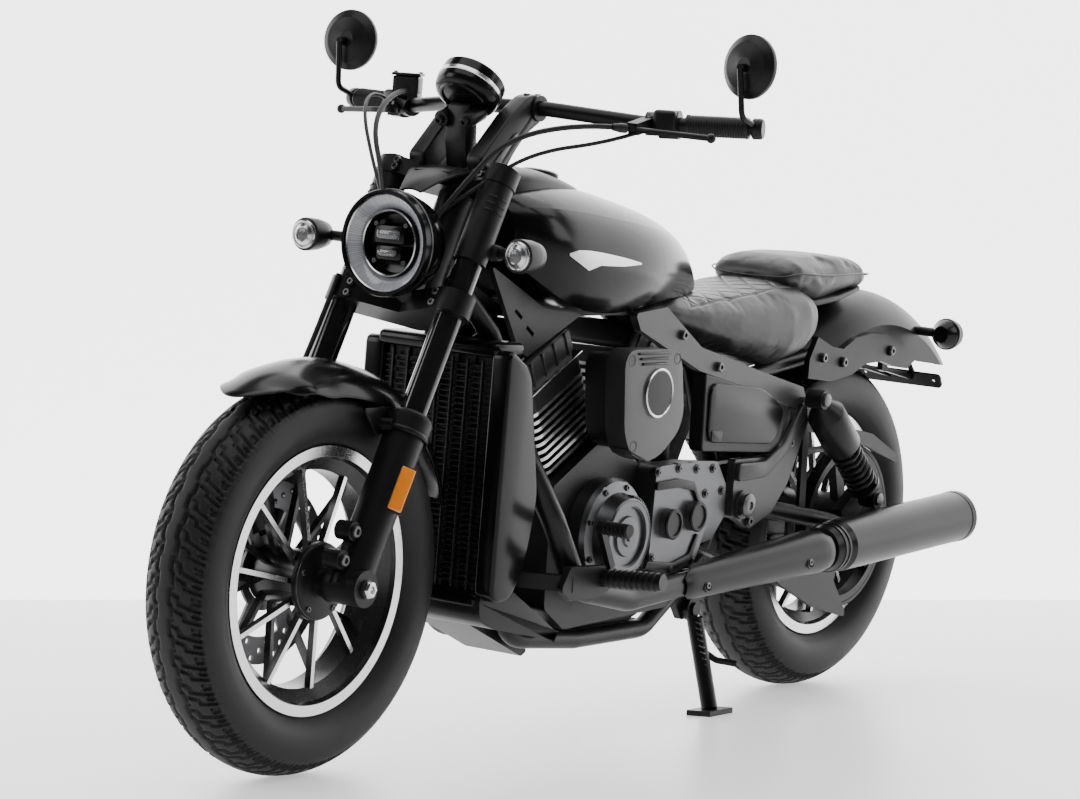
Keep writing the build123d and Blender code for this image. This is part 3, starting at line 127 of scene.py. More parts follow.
class Finish:
    """One procedural material around a Principled shader."""

    def __init__(self, name, color, roughness, metallic=0.0, coat=0.0, **sockets):
        self.material = bpy.data.materials.new(name)
        self.material.use_nodes = True
        self.tree = self.material.node_tree
        self.shader = self.tree.nodes["Principled BSDF"]
        self.color, self.roughness = (*color, 1.0), roughness
        self.set("Base Color", self.color)
        self.set("Roughness", roughness)
        self.set("Metallic", metallic)
        self.set("Coat Weight", coat)
        for socket, value in sockets.items():
            self.set(socket.replace("_", " "), value)

    def set(self, socket, value):
        """Gives a socket of the shader a value or a wire."""
        self.plug(self.shader.inputs[socket], value)

    def plug(self, socket, value):
        if isinstance(value, Wire):
            self.tree.links.new(value.socket, socket)
        else:
            socket.default_value = value

    def node(self, kind, settings=None, inputs=None, output=0):
        """Any node: its settings first, then the values or wires of its sockets."""
        made = self.tree.nodes.new(kind)
        for setting, value in (settings or {}).items():
            setattr(made, setting, value)
        for socket, value in (inputs or {}).items():
            self.plug(made.inputs[socket], value)
        return Wire(self, made.outputs[output])

    def place(self, centre=(0, 0, 0), turn=(0, 0, 0), scale=(1, 1, 1)):
        """Object coordinates, moved so that the centre is at 0, then turned and scaled."""
        source = self.node("ShaderNodeTexCoord", output="Object")
        moved = self.node("ShaderNodeMapping", {"vector_type": "POINT"}, {"Vector": source,
            "Location": tuple(-c for c in centre)})
        return self.node("ShaderNodeMapping", {"vector_type": "POINT"}, {"Vector": moved, "Rotation": turn,
            "Scale": scale})

    def parts(self, vector):
        """The three numbers of a vector."""
        made = self.tree.nodes.new("ShaderNodeSeparateXYZ")
        self.plug(made.inputs[0], vector)
        return [Wire(self, made.outputs[k]) for k in range(3)]

    def noise(self, scale, detail=3.0, roughness=0.5, vector=None):
        inputs = {"Vector": vector or self.place(), "Scale": scale, "Detail": detail,
            "Roughness": roughness}
        return self.node("ShaderNodeTexNoise", {}, inputs)

    def blend(self, share, first, second):
        """Colour between two colours."""
        return self.node("ShaderNodeMix", {"data_type": "RGBA"}, {0: share, 6: first, 7: second}, output=2)

    def bump(self, height, strength, distance=0.001):
        self.set("Normal", self.node("ShaderNodeBump", {}, {"Height": height, "Strength": strength,
            "Distance": distance}))

    def vary(self, scale, shade=0.15, rough=0.1, grain=0.0, grain_scale=900.0, grain_depth=0.0004):
        """Uneven colour and gloss, with a fine grain."""
        cloud = self.noise(scale)
        dark = tuple(c * (1 - shade) for c in self.color[:3]) + (1.0,)
        light = tuple(min(1.0, c * (1 + shade)) for c in self.color[:3]) + (1.0,)
        self.set("Base Color", self.blend(cloud, dark, light))
        self.set("Roughness", cloud * (2 * rough * self.roughness) + self.roughness * (1 - rough))
        if grain:
            self.bump(self.noise(grain_scale, 2.0), grain, grain_depth)


# ---- finishes
gloss_black = Finish("gloss_black_paint", (0.0035, 0.0035, 0.0038), 0.19, Specular_IOR_Level=0.20)
gloss_black.vary(6, 0.1, 0.2)
satin_black = Finish("satin_black_paint", (0.006, 0.006, 0.0064), 0.38, Specular_IOR_Level=0.22)
satin_black.vary(14, 0.18, 0.14, 0.18, 1500, 0.0002)
casting_grey = Finish("casting_grey_paint", (0.026, 0.0265, 0.028), 0.36, metallic=0.3)
casting_grey.vary(12, 0.16, 0.14, 0.2, 1300, 0.0002)
satin_grey = Finish("satin_grey_paint", (0.10, 0.102, 0.107), 0.33, metallic=0.8)
satin_grey.vary(12, 0.16, 0.14, 0.2, 1300, 0.0002)
cast_black = Finish("cast_black_metal", (0.009, 0.009, 0.0095), 0.46, metallic=0.2, Specular_IOR_Level=0.35)
cast_black.vary(20, 0.25, 0.15, 0.45, 700, 0.0004)
dark_steel = Finish("dark_steel", (0.10, 0.10, 0.105), 0.34, metallic=0.9)
dark_steel.vary(30, 0.2, 0.2, 0.1, 900, 0.0002)
bright_steel = Finish("bright_steel", (0.62, 0.62, 0.63), 0.24, metallic=1.0)
bright_steel.vary(40, 0.1, 0.3, 0.06, 1200, 0.0001)
exhaust_black = Finish("exhaust_black", (0.006, 0.006, 0.0065), 0.32, Specular_IOR_Level=0.24)
exhaust_black.vary(9, 0.3, 0.18, 0.12, 1400, 0.0002)
fork_tube_black = Finish("fork_tube_black", (0.012, 0.011, 0.012), 0.12, metallic=0.4, coat=0.5)
fork_tube_black.vary(25, 0.2, 0.3)
rubber = Finish("tyre_rubber", (0.010, 0.010, 0.0105), 0.55, Specular_IOR_Level=0.30)
rubber.vary(16, 0.3, 0.12, 0.3, 1100, 0.0003)
soft_rubber = Finish("soft_rubber", (0.006, 0.006, 0.0065), 0.50, Specular_IOR_Level=0.30)
soft_rubber.vary(30, 0.2, 0.1, 0.3, 1300, 0.0002)
clear_lens = Finish("clear_lens", (0.85, 0.87, 0.9), 0.06, Transmission_Weight=0.85, IOR=1.45)
clear_lens.vary(20, 0.05, 0.2)
amber = Finish("amber_reflector", (0.85, 0.23, 0.01), 0.22, coat=0.7)
amber.vary(60, 0.12, 0.2, 0.1, 800, 0.0002)
red_lens = Finish("red_lens", (0.25, 0.005, 0.006), 0.15, coat=0.8)
red_lens.vary(30, 0.2, 0.2)
mirror_glass = Finish("mirror_glass", (0.7, 0.72, 0.74), 0.03, metallic=1.0)
mirror_glass.vary(5, 0.03, 0.3)


def dress(names, finish):
    """Gives CAD nodes a finish."""
    for name in names.split():
        slots = nodes[name].data.materials
        slots.clear()
        slots.append(finish.material)


dress("fuel_tank front_fender headlight_shell mirrors", gloss_black)
for names in ("main_frame fork_sliders lower_clamp upper_clamp handlebar plate_bracket swingarm",
        "stand_bracket side_stand foot_controls bar_controls instrument belt_guards",
        "fender_struts rear_fender air_cleaner tank_console levers headlight_lens",
        "front_signals rear_lights neck_panels side_panels radiator_shroud"):
    dress(names, satin_black)
dress("frame_castings", casting_grey)
dress("engine_covers", satin_grey)
dress("crankcase cylinders cylinder_heads radiator rear_caliper front_caliper shocks", cast_black)
dress("exhaust_pipes silencer heat_shield", exhaust_black)
dress("rider_seat pillion_seat", soft_rubber)
dress("front_axle rear_axle front_disc rear_disc", dark_steel)
dress("front_rim rear_rim rear_pulley drive_pulley", satin_black)
dress("fork_tubes", fork_tube_black)
dress("front_tyre rear_tyre", rubber)
dress("drive_belt grips control_cables brake_hose", soft_rubber)

# ---- modelling
AHEAD, LEFT, UP = (1, 0, 0), (0, 1, 0), (0, 0, 1)


def pick(piece):
    """Makes the piece the only one selected."""
    bpy.ops.object.select_all(action="DESELECT")
    piece.select_set(True)
    bpy.context.view_layer.objects.active = piece


def basic(name, add, **settings):
    """A new piece from one of the basic shapes."""
    bpy.ops.object.select_all(action="DESELECT")
    add(**settings)
    piece = bpy.context.object
    piece.name = name
    return piece


def about(axis, degrees):
    """A turn about an axis."""
    return Matrix.Rotation(radians(degrees), 4, axis)


def on_circle(radius, angle, y=0.0):
    """Point on a circle that faces sideways."""
    return Vector((radius * cos(angle), y, radius * sin(angle)))


def begin(name, point):
    """A new piece of one vertex, in edit mode."""
    piece = basic(name, bpy.ops.mesh.primitive_plane_add, size=1)
    bpy.ops.object.mode_set(mode="EDIT")
    bpy.ops.mesh.merge(type="CENTER")
    bpy.ops.transform.translate(value=point)
    return piece


def trace(name, points):
    """A line of edges, extruded from point to point."""
    piece = begin(name, points[0])
    here = Vector(points[0])
    for point in points[1:]:
        bpy.ops.mesh.extrude_region_move(TRANSFORM_OT_translate={"value": Vector(point) - here})
        here = Vector(point)
    bpy.ops.mesh.select_all(action="SELECT")
    return piece


def close_up(merge=0.01):
    """Merges doubles, turns the faces outwards and leaves edit mode."""
    bpy.ops.mesh.select_all(action="SELECT")
    bpy.ops.mesh.remove_doubles(threshold=merge)
    bpy.ops.mesh.normals_make_consistent(inside=False)
    bpy.ops.object.mode_set(mode="OBJECT")


def apply(piece, kind, **settings):
    """Adds a modifier and applies it."""
    bpy.context.view_layer.objects.active = piece
    modifier = piece.modifiers.new(kind.title(), kind)
    for setting, value in settings.items():
        setattr(modifier, setting, value)
    bpy.ops.object.modifier_apply(modifier=modifier.name)
    return piece


def ease(piece, width, segments=2, angle=35):
    """Rounds the sharp edges."""
    return apply(piece, "BEVEL", width=width, segments=segments, limit_method="ANGLE",
        angle_limit=radians(angle), harden_normals=False)


def turned(name, profile, centre=(0, 0, 0), axis=LEFT, steps=64):
    """A turned piece; the profile lists (radius, place along the axis)."""
    piece = trace(name, [(radius, 0, along) for radius, along in profile])
    bpy.ops.mesh.spin(steps=steps, angle=tau, center=(0, 0, 0), axis=UP)
    close_up()
    turn = Vector(axis).to_track_quat("Z", "Y").to_matrix().to_4x4()
    piece.data.transform(Matrix.Translation(centre) @ turn)
    return piece


def slab(name, points, y_low, y_high, corner=0.0, edge=2.0, segments=2):
    """A plate with an outline in x and z, between two values of y."""
    piece = trace(name, [(x, y_low, z) for x, z in points])
    bpy.ops.mesh.edge_face_add()
    if corner:
        bpy.ops.mesh.bevel(offset=corner, segments=4, affect="VERTICES")
    bpy.ops.mesh.select_all(action="SELECT")
    bpy.ops.mesh.extrude_region_move(TRANSFORM_OT_translate={"value": (0, y_high - y_low, 0)})
    close_up()
    return ease(piece, edge, segments) if edge else piece


def block(name, centre, size, edge=2.0, turn=None):
    """A box with eased edges."""
    piece = basic(name, bpy.ops.mesh.primitive_cube_add, size=1)
    place = Matrix.Translation(centre) @ (turn or Matrix.Identity(4)) @ Matrix.Diagonal((*size, 1))
    piece.data.transform(place)
    return ease(piece, edge) if edge else piece


def rod(name, start, end, radius, edge=1.0, sides=32):
    """A straight round bar between two points."""
    start, end = Vector(start), Vector(end)
    along = end - start
    piece = basic(name, bpy.ops.mesh.primitive_cone_add, vertices=sides, radius1=radius, depth=along.length,
        radius2=radius)
    turn = along.to_track_quat("Z", "Y").to_matrix().to_4x4()
    piece.data.transform(Matrix.Translation((start + end) / 2) @ turn)
    return ease(piece, edge, 2, 50) if edge else piece


def curve(name, points, depth, sides, steps, thickness=1.0):
    """A smooth curve with a round section."""
    data = bpy.data.curves.new(name, "CURVE")
    data.dimensions = "3D"
    line = data.splines.new("NURBS")
    line.points.add(len(points) - 1)
    for spot, point in zip(line.points, points):
        spot.co, spot.radius = (*point, 1), thickness
    line.order_u, line.use_endpoint_u, line.resolution_u = 3, True, steps
    data.bevel_depth, data.bevel_resolution, data.use_fill_caps = depth, sides, True
    piece = bpy.data.objects.new(name, data)
    bpy.context.collection.objects.link(piece)
    return piece


def bar(name, points, radius, sides=3):
    """A bent round bar along a smooth curve."""
    pick(curve(name, points, radius, sides, 12))
    bpy.ops.object.convert(target="MESH")
    return bpy.context.object


def paint(piece, finish):
    piece.data.materials.clear()
    piece.data.materials.append(finish.material)
    return piece


def join(name, *pieces):
    pick(pieces[0])
    for piece in pieces[1:]:
        piece.select_set(True)
    if len(pieces) > 1:
        bpy.ops.object.join()
    pieces[0].name = name
    return pieces[0]


def copied(piece, change):
    """A copy with its own mesh, moved or mirrored."""
    twin = piece.copy()
    twin.data = piece.data.copy()
    bpy.context.collection.objects.link(twin)
    twin.data.transform(change)
    if change.determinant() < 0:
        twin.data.flip_normals()
    return twin


MIRROR = Matrix.Diagonal((1, -1, 1, 1))


def both(piece):
    return join(piece.name, piece, copied(piece, MIRROR))


def settle(piece, body, finish=None, replaces=(), along_fork=False, smooth=35):
    """Puts a finished piece in its place, on its body."""
    if finish:
        paint(piece, finish)
    if along_fork:
        piece.data.transform(FORK)
    piece.data.transform(PLACES[body])
    pick(piece)
    bpy.ops.object.shade_smooth_by_angle(angle=radians(smooth))
    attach(piece, body)
    if replaces:
        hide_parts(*replaces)
    return piece


def screw(at, axis, radius, height=None):
    """Round steel head with a hexagon socket."""
    height = height or radius * 0.9
    head = turned("screw", [(0, 0), (radius, 0), (radius, height * 0.8), (radius * 0.85, height),
        (radius * 0.5, height), (radius * 0.45, height * 0.45), (0, height * 0.4)], at, axis, 12)
    return paint(head, dark_steel)


# ---- tyres
TREAD_PITCHES, TREAD_COLUMNS, TREAD_DEPTH, TREAD_STEP = 40, 22, 4.5, 2.3
GROOVE_HALF, GROOVE_WALL = 3.1, 1.2
# Grooves of one pitch: (share of the tread's half width, share of the pitch) from point to point.
GROOVES = [[(0.20, 0.00), (0.42, 0.10), (0.45, 0.34), (0.66, 0.44), (0.93, 0.58)], [(0.36, 0.55),
    (0.56, 0.66), (0.58, 0.84), (0.80, 0.93), (0.95, 1.00)], [(0.78, 0.16), (0.92, 0.22)], [(0.80, 0.30),
    (0.92, 0.35)], [(0.80, 0.72), (0.92, 0.78)]]
WAVE = [(0.19, -0.1), (0.19, 0.32), (0.26, 0.42), (0.26, 0.82), (0.19, 0.92), (0.19, 1.32)]


def groove_depth(across, along, pitch, half_tread):
    """How deep the tread is cut at a place, 0 to 1."""
    lane = abs(across) / half_tread
    if across < 0:
        along = (along + pitch / 2) % pitch
    nearest = 99.0
    for line in GROOVES + [WAVE]:
        for (t0, s0), (t1, s1) in zip(line, line[1:]):
            for turn in (-1, 0, 1):
                start = Vector((t0 * half_tread, (s0 + turn) * pitch))
                end = Vector((t1 * half_tread, (s1 + turn) * pitch))
                run = end - start
                spot = Vector((lane * half_tread, along)) - start
                share = max(0.0, min(1.0, spot.dot(run) / run.length_squared))
                nearest = min(nearest, (spot - run * share).length)
    return max(0.0, min(1.0, (GROOVE_HALF - nearest) / GROOVE_WALL + 0.5))


def treaded_tyre(name, body, centre, radius, half_width, crown):
    """Round-section tyre: one pitch of tread on a grid, repeated around the axle."""
    pitch = tau * radius / TREAD_PITCHES
    edge_angle = asin((half_width - 7) / crown)
    half_tread = crown * edge_angle
    rows = round(2 * half_tread / TREAD_STEP)
    shoulder = (crown * sin(edge_angle), radius - crown * (1 - cos(edge_angle)))
    side = [(half_width - 2.5, shoulder[1] - 9), (half_width - 0.5, shoulder[1] - 24), (half_width,
        shoulder[1] - 38), (half_width - 3, shoulder[1] - 52), (half_width - 9, 232), (49, 222), (43, 219),
        (42.4, 207), (20, 206)]
    section = [(-y, z, None) for y, z in reversed(side)]
    for k in range(rows + 1):
        across = -half_tread + 2 * half_tread * k / rows
        section.append((crown * sin(across / crown), radius - crown * (1 - cos(across / crown)), across))
    section += [(y, z, None) for y, z in side]
    piece = basic(name, bpy.ops.mesh.primitive_grid_add, x_subdivisions=TREAD_COLUMNS,
        y_subdivisions=len(section) - 1, size=1)
    for vertex in piece.data.vertices:
        column = round((vertex.co.x + 0.5) * TREAD_COLUMNS)
        y, z, across = section[round((vertex.co.y + 0.5) * (len(section) - 1))]
        if across is not None:
            cut = groove_depth(across, column / TREAD_COLUMNS * pitch, pitch, half_tread)
            fade = min(1.0, (half_tread - abs(across)) / 3)
            y -= cut * fade * TREAD_DEPTH * sin(across / crown)
            z -= cut * fade * TREAD_DEPTH * cos(across / crown)
        turn = tau * column / TREAD_COLUMNS / TREAD_PITCHES
        vertex.co = Vector((z * sin(turn), y, z * cos(turn)))
    bpy.ops.object.mode_set(mode="EDIT")
    bpy.ops.mesh.select_all(action="SELECT")
    bpy.ops.mesh.spin(steps=TREAD_PITCHES - 1, angle=tau * (TREAD_PITCHES - 1) / TREAD_PITCHES, dupli=True,
        center=(0, 0, 0), axis=LEFT)
    bpy.ops.mesh.select_all(action="SELECT")
    bpy.ops.mesh.remove_doubles(threshold=0.02)
    bpy.ops.mesh.select_all(action="DESELECT")
    bpy.ops.mesh.select_non_manifold()
    bpy.ops.mesh.bridge_edge_loops()
    close_up(0.02)
    piece.data.transform(Matrix.Translation(centre))
    settle(piece, body, rubber, [body.replace("wheel", "tyre")], smooth=50)


treaded_tyre("front_tyre_treaded", "front_wheel", FRONT_AXLE, 320, 65, 75)
treaded_tyre("rear_tyre_treaded", "rear_wheel", REAR_AXLE, 323, 75, 90)


# ---- wheels
# Metres from the axle, and metres out from the middle of the wheel.
LIP_FROM, LIP_OUT, LIP_BLUR = 0.2005, 0.046, 0.0008
SPOKES_FROM, SPOKES_TO, SPOKES_OUT, SPOKE_BLUR = 0.066, 0.190, 0.020, 0.001
FACES_OUT = 0.93


def wheel_finish(name, axle, matrix):
    """Black cast wheel whose outer lips and outer spoke faces are machined bright."""
    finish = Finish(name, (0.010, 0.010, 0.011), 0.30)
    hub = matrix @ axle
    tilt = matrix.to_3x3().normalized() @ Vector(LEFT)
    where = finish.place(hub)
    along = finish.node("ShaderNodeVectorMath", {"operation": "DOT_PRODUCT"}, {0: where, 1: tuple(tilt)},
        output=1)
    reach = finish.node("ShaderNodeVectorMath", {"operation": "LENGTH"}, {0: where}, output=1)
    across = (reach * reach - along * along) ** 0.5
    facing = finish.node("ShaderNodeTexCoord", output=1)
    facing = finish.node("ShaderNodeVectorMath", {"operation": "DOT_PRODUCT"}, {0: facing, 1: tuple(tilt)},
        output=1)
    outward = facing.size().above(FACES_OUT, 0.04)
    lip = across.above(LIP_FROM, LIP_BLUR) * along.size().above(LIP_OUT, SPOKE_BLUR)
    spoke = across.above(SPOKES_FROM, SPOKE_BLUR) * (1 - across.above(SPOKES_TO, SPOKE_BLUR))
    spoke = spoke * along.size().above(SPOKES_OUT, SPOKE_BLUR) * outward
    spoke = spoke * (facing * along).above(0, 0.0001)
    bright = lip.maths("MAXIMUM", lip, spoke)
    lathe_marks = finish.noise(9.0, 2.0, vector=finish.node("ShaderNodeCombineXYZ", {}, {0: across * 900}))
    finish.set("Base Color", finish.blend(bright, finish.color, (0.72, 0.72, 0.73, 1)))
    finish.set("Metallic", bright)
    finish.set("Roughness", finish.noise(60) * 0.08 + lathe_marks * 0.08 + 0.18)
    return finish


dress("front_rim", wheel_finish("front_wheel_cast", FRONT_AXLE, STEERED))
dress("rear_rim", wheel_finish("rear_wheel_cast", REAR_AXLE, UPRIGHT))


# ---- front fender and headlight
def skinned(name, rings, thickness=0.0, closed=False):
    """A smooth sheet through rows of points, or a tube when closed, given a thickness inwards."""
    rows, columns = len(rings) - 1, len(rings[0]) - 1
    piece = basic(name, bpy.ops.mesh.primitive_grid_add, x_subdivisions=columns, y_subdivisions=rows,
        size=1)
    for vertex in piece.data.vertices:
        vertex.co = rings[round((vertex.co.y + 0.5) * rows)][round((vertex.co.x + 0.5) * columns)]
    bpy.ops.object.mode_set(mode="EDIT")
    if closed:
        bpy.ops.mesh.select_all(action="SELECT")
        bpy.ops.mesh.remove_doubles(threshold=0.01)
        bpy.ops.mesh.select_all(action="DESELECT")
        bpy.ops.mesh.select_non_manifold()
        bpy.ops.mesh.fill_holes(sides=0)
    close_up()
    return apply(piece, "SOLIDIFY", thickness=thickness, offset=-1) if thickness else piece


def lifted(table, at):
    """Value between the rows of a table of (place, value), smoothly."""
    for (x0, v0), (x1, v1) in zip(table, table[1:]):
        if at <= x1:
            share = max(0.0, (at - x0) / (x1 - x0))
            return v0 + (v1 - v0) * share * share * (3 - 2 * share)
    return table[-1][1]


# Front fender: (angle from straight ahead, value), from the tip to the tail.
FENDER_CREST = [(58, 352), (72, 354), (100, 354), (120, 360), (150, 352), (160, 346)]
FENDER_DROP = [(58, 14), (68, 38), (82, 56), (104, 58), (130, 52), (160, 34)]
FENDER_HALF_WIDTH = [(58, 58), (72, 78), (130, 78), (160, 66)]
FENDER_TIP, FENDER_TAIL, FENDER_ROWS, FENDER_COLUMNS, FENDER_SHEET = 58, 160, 44, 24, 3.5
TIP_ROUNDING = 7     # how far the edges trail the crest at the tip, in degrees
rings = []
for step in range(FENDER_ROWS + 1):
    angle = FENDER_TIP + (FENDER_TAIL - FENDER_TIP) * step / FENDER_ROWS
    ring = []
    for k in range(FENDER_COLUMNS + 1):
        spread = radians(-90 + 180 / FENDER_COLUMNS * k)
        lead = TIP_ROUNDING * sin(spread) ** 2 * max(0.0, 1 - 2 * step / FENDER_ROWS)
        radius = lifted(FENDER_CREST, angle) - lifted(FENDER_DROP, angle) * (1 - cos(spread)) ** 0.9
        turn = radians(angle + lead)
        ring.append(FRONT_AXLE + on_circle(radius, turn, lifted(FENDER_HALF_WIDTH, angle) * sin(spread)))
    rings.append(ring)
fender = ease(skinned("front_fender_sheet", rings, FENDER_SHEET), 1.2, 2, 50)
bracket = both(slab("bracket", [(1452, 600), (1540, 600), (1506, 556), (1482, 556)], 78, 83, 8, 1.5))
bolts = both(screw((1494, 83, 574), LEFT, 9))
settle(paint(fender, gloss_black), "fork", replaces=["front_fender"])
settle(join("front_fender_bracket", paint(bracket, satin_black), bolts), "fork")

LAMP = Vector((1413, 0, 857))
shell = turned("headlight_bowl", [(0, -88), (50, -88), (62, -82), (76, -66), (86, -34), (88, -12), (88, -1),
    (86.5, 1), (83, 1), (81.5, -1.5), (81, -9)], LAMP, AHEAD, 96)
settle(shell, "fork", gloss_black, ["headlight_shell"])
settle(turned("headlight_trim", [(88.4, -20), (88.8, -19), (88.8, -17), (88.4, -16)], LAMP, AHEAD, 96),
    "fork", dark_steel)
stay = slab("headlight_stay", [(1300, 735), (1345, 735), (1362, 800), (1342, 846), (1310, 840)], -22, 22,
    10, 3)
settle(stay, "fork", satin_black)
led = Finish("headlight_light_ring", (0.24, 0.25, 0.27), 0.20, coat=0.8, Emission_Strength=0.05)
ring_place = led.parts(led.place(STEERED @ LAMP))
ribs = led.node("ShaderNodeTexNoise", {"noise_dimensions": "1D"}, {"W": led.node("ShaderNodeMath",
    {"operation": "ARCTAN2"}, {0: ring_place[2], 1: ring_place[1]}) * 60, "Scale": 1.0})
led.set("Base Color", led.blend(ribs.above(0.5, 0.25), (0.13, 0.135, 0.15, 1), (0.36, 0.37, 0.40, 1)))
led.set("Emission Color", led.blend(ribs, (0.5, 0.52, 0.56, 1), (0.85, 0.87, 0.9, 1)))
settle(turned("headlight_ring", [(81, -9), (80.5, -5), (70, -10), (61, -19), (57, -24), (57, -30)], LAMP,
    AHEAD, 96), "fork", led, ["headlight_lens"])
inner = [paint(turned("well", [(57, -24), (55, -16), (52, -16), (48, -34), (30, -40), (0, -42)], LAMP,
    AHEAD, 72), gloss_black)]
for y, z, width, height, finish in ((0, 14, 62, 30, gloss_black), (0, -16, 52, 24, gloss_black),
        (0, 14, 44, 15, clear_lens), (0, -16, 34, 11, clear_lens)):
    depth = -18 if finish is clear_lens else -26
    inner.append(paint(block("projector", LAMP + Vector((depth, y, z)), (22, width, height), 4), finish))
inner.append(paint(turned("lip", [(52, -15.5), (53.5, -14), (55, -15.5)], LAMP, AHEAD, 72), bright_steel))
inner.append(paint(turned("rim_line", [(78, -5), (79.5, -3), (81, -5)], LAMP, AHEAD, 96), bright_steel))
for k in range(4):
    spot = Vector((-20, 43 * cos(radians(45 + 90 * k)), 43 * sin(radians(45 + 90 * k))))
    inner.append(screw(LAMP + spot, AHEAD, 4))
settle(join("headlight_inside", *inner), "fork")

SIGNAL = Vector((1312, 221, 854))
body = turned("signal_shell", [(0, -28), (13, -28), (22, -18), (26.5, 2), (28, 24), (28, 30), (25, 31)],
    SIGNAL, AHEAD, 48)
stem = rod("stem", (1288, 138, 852), (1296, 206, 854), 9)
settle(both(join("front_signal_shells", paint(body, satin_black), paint(stem, satin_black),
    paint(turned("boot", [(0, 0), (14, 0), (12, 16), (0, 16)], (1287, 130, 852), (0.1, 1, 0), 32),
    rubber))), "fork", replaces=["front_signals"])
lens = turned("lens", [(25, 29), (24, 33), (14, 37), (0, 38.5)], SIGNAL, AHEAD, 48)
rings_in = turned("lens_rings", [(24, 33.4), (22, 35), (20.5, 34), (15, 37.4), (13, 39), (11.5, 38)],
    SIGNAL, AHEAD, 48)
settle(both(join("front_signal_lenses", paint(lens, clear_lens), paint(rings_in, bright_steel))), "fork")

# ---- fork details
FORK_HALF_TRACK = 110
for y in (1, -1):
    leg = [paint(turned("collar", [(38.3, 262), (39.4, 264), (39.4, 268), (38.3, 270)],
        (0, y * FORK_HALF_TRACK, 0), UP, 64), satin_black), paint(turned("seal", [(24, 292), (35, 292),
        (35, 297), (30, 302), (24, 303)], (0, y * FORK_HALF_TRACK, 0), UP, 64), soft_rubber)]
    for low, high in ((478, 520), (714, 748)):
        for height in (low + 11, high - 11):
            leg.append(screw((26, y * 88, height), AHEAD, 6.5))
    leg.append(paint(screw((0, y * FORK_HALF_TRACK, 747), UP, 18, 7), satin_grey))
    settle(join("fork_leg_details", *leg), "fork", along_fork=True)
for u, w in ((43, 78), (45, 27)):
    settle(screw((u, 118.5, w), LEFT, 10, 6), "fork", along_fork=True)
axle_end = turned("front_axle_cap", [(0, 0), (15, 0), (15, 4), (12, 7), (7, 7), (6.5, 3), (0, 2)],
    FRONT_AXLE + Vector((0, 151.6, 0)), LEFT, 6)
settle(ease(axle_end, 0.8), "fork", bright_steel)
reflector = block("fork_reflector", (0, 0, 0), (6, 24, 74), 0)
reflector.data.transform(Matrix.Translation((6, 147, 172)) @ about("Z", 52))
reflector = ease(reflector, 2.5, 3)
plate_back = block("reflector_back", (0, 0, 0), (6, 29, 80), 0)
plate_back.data.transform(Matrix.Translation((4, 143.5, 172)) @ about("Z", 52))
settle(join("fork_reflector", paint(reflector, amber), paint(ease(plate_back, 2.5, 3), satin_black)),
    "fork", along_fork=True)
hub_cover = turned("front_hub_cover", [(12, 73), (24, 73), (24, 60), (40, 60), (44, 58.5), (50, 58.5),
    (60, 55.5), (63.5, 51), (63.5, 44)], FRONT_AXLE, LEFT, 72)
parts = [paint(ease(hub_cover, 0.8), satin_black)]
for k in range(5):
    angle = radians(72 * k + 20)
    parts.append(screw(FRONT_AXLE + on_circle(53, angle, 56), LEFT, 5))
settle(join("front_hub_cover", *parts), "front_wheel")

# ---- instrument and mirrors
DIAL, DIAL_AXIS = Vector((1222, 0, 1098)), Vector((-0.62, 0, 0.78))
pod = turned("instrument_pod", [(0, -2), (44, -2), (51, 1), (55, 7), (56, 14), (56, 44), (53, 47), (50, 47),
    (49, 43), (0, 42)], DIAL, DIAL_AXIS, 72)
bezel = turned("instrument_bezel", [(56, 20), (57.4, 21), (57.4, 27), (56, 28)], DIAL, DIAL_AXIS, 72)
hollow = turned("hollow", [(36, -2), (38, -4.5), (41, -4.5), (43, -2)], DIAL, DIAL_AXIS, 72)
settle(join("instrument_pod", paint(pod, gloss_black), paint(bezel, bright_steel), paint(hollow,
    gloss_black)), "fork", replaces=["instrument"])
stay = slab("stay", [(1190, 975), (1226, 975), (1238, 1030), (1234, 1090), (1210, 1094), (1206, 1030)], -22,
    22, 6, 3)
ears = [rod("ear", (1206, y, 1078), (1246, y, 1062), 14, 2) for y in (-26, 26)]
ears += [screw((1247, y, 1061.6), (0.93, 0, -0.37), 8) for y in (-26, 26)]
settle(join("instrument_stay", *[paint(bit, satin_black) for bit in [stay] + ears]), "fork")
riser = slab("bar_riser", [(1250, 966), (1266, 1002), (1186, 1078), (1138, 1110), (1108, 1114),
    (1090, 1092), (1100, 1068), (1150, 1040), (1206, 968)], 44, 76, 9, 4, 3)
hole = slab("recess", [(1236, 992), (1178, 1046), (1164, 1048), (1216, 990)], 75, 77.5, 4, 1)
settle(both(join("bar_risers", paint(riser, satin_black), paint(hole, gloss_black))), "fork")
cowl = [[Vector((x, half * (k / 8 - 1), z - 5 * abs(k / 8 - 1) ** 2)) for k in range(17)] for x, half,
    z in ((1238, 70, 984), (1262, 66, 986), (1292, 52, 980), (1322, 36, 966), (1352, 22, 948))]
cowl = ease(skinned("headlight_cowl", cowl, 4), 1.2)
bits = [paint(cowl, satin_black)]
for y in (26, -26):
    bits.append(paint(slab("opening", [(1262, 984), (1296, 978), (1290, 972), (1262, 980)], y - 10, y + 10,
        1, 0), soft_rubber))
settle(join("headlight_cowl", *bits), "fork")
settle(turned("instrument_glass", [(49, 44.2), (30, 45), (0, 45.3)], DIAL, DIAL_AXIS, 72), "fork",
    gloss_black)
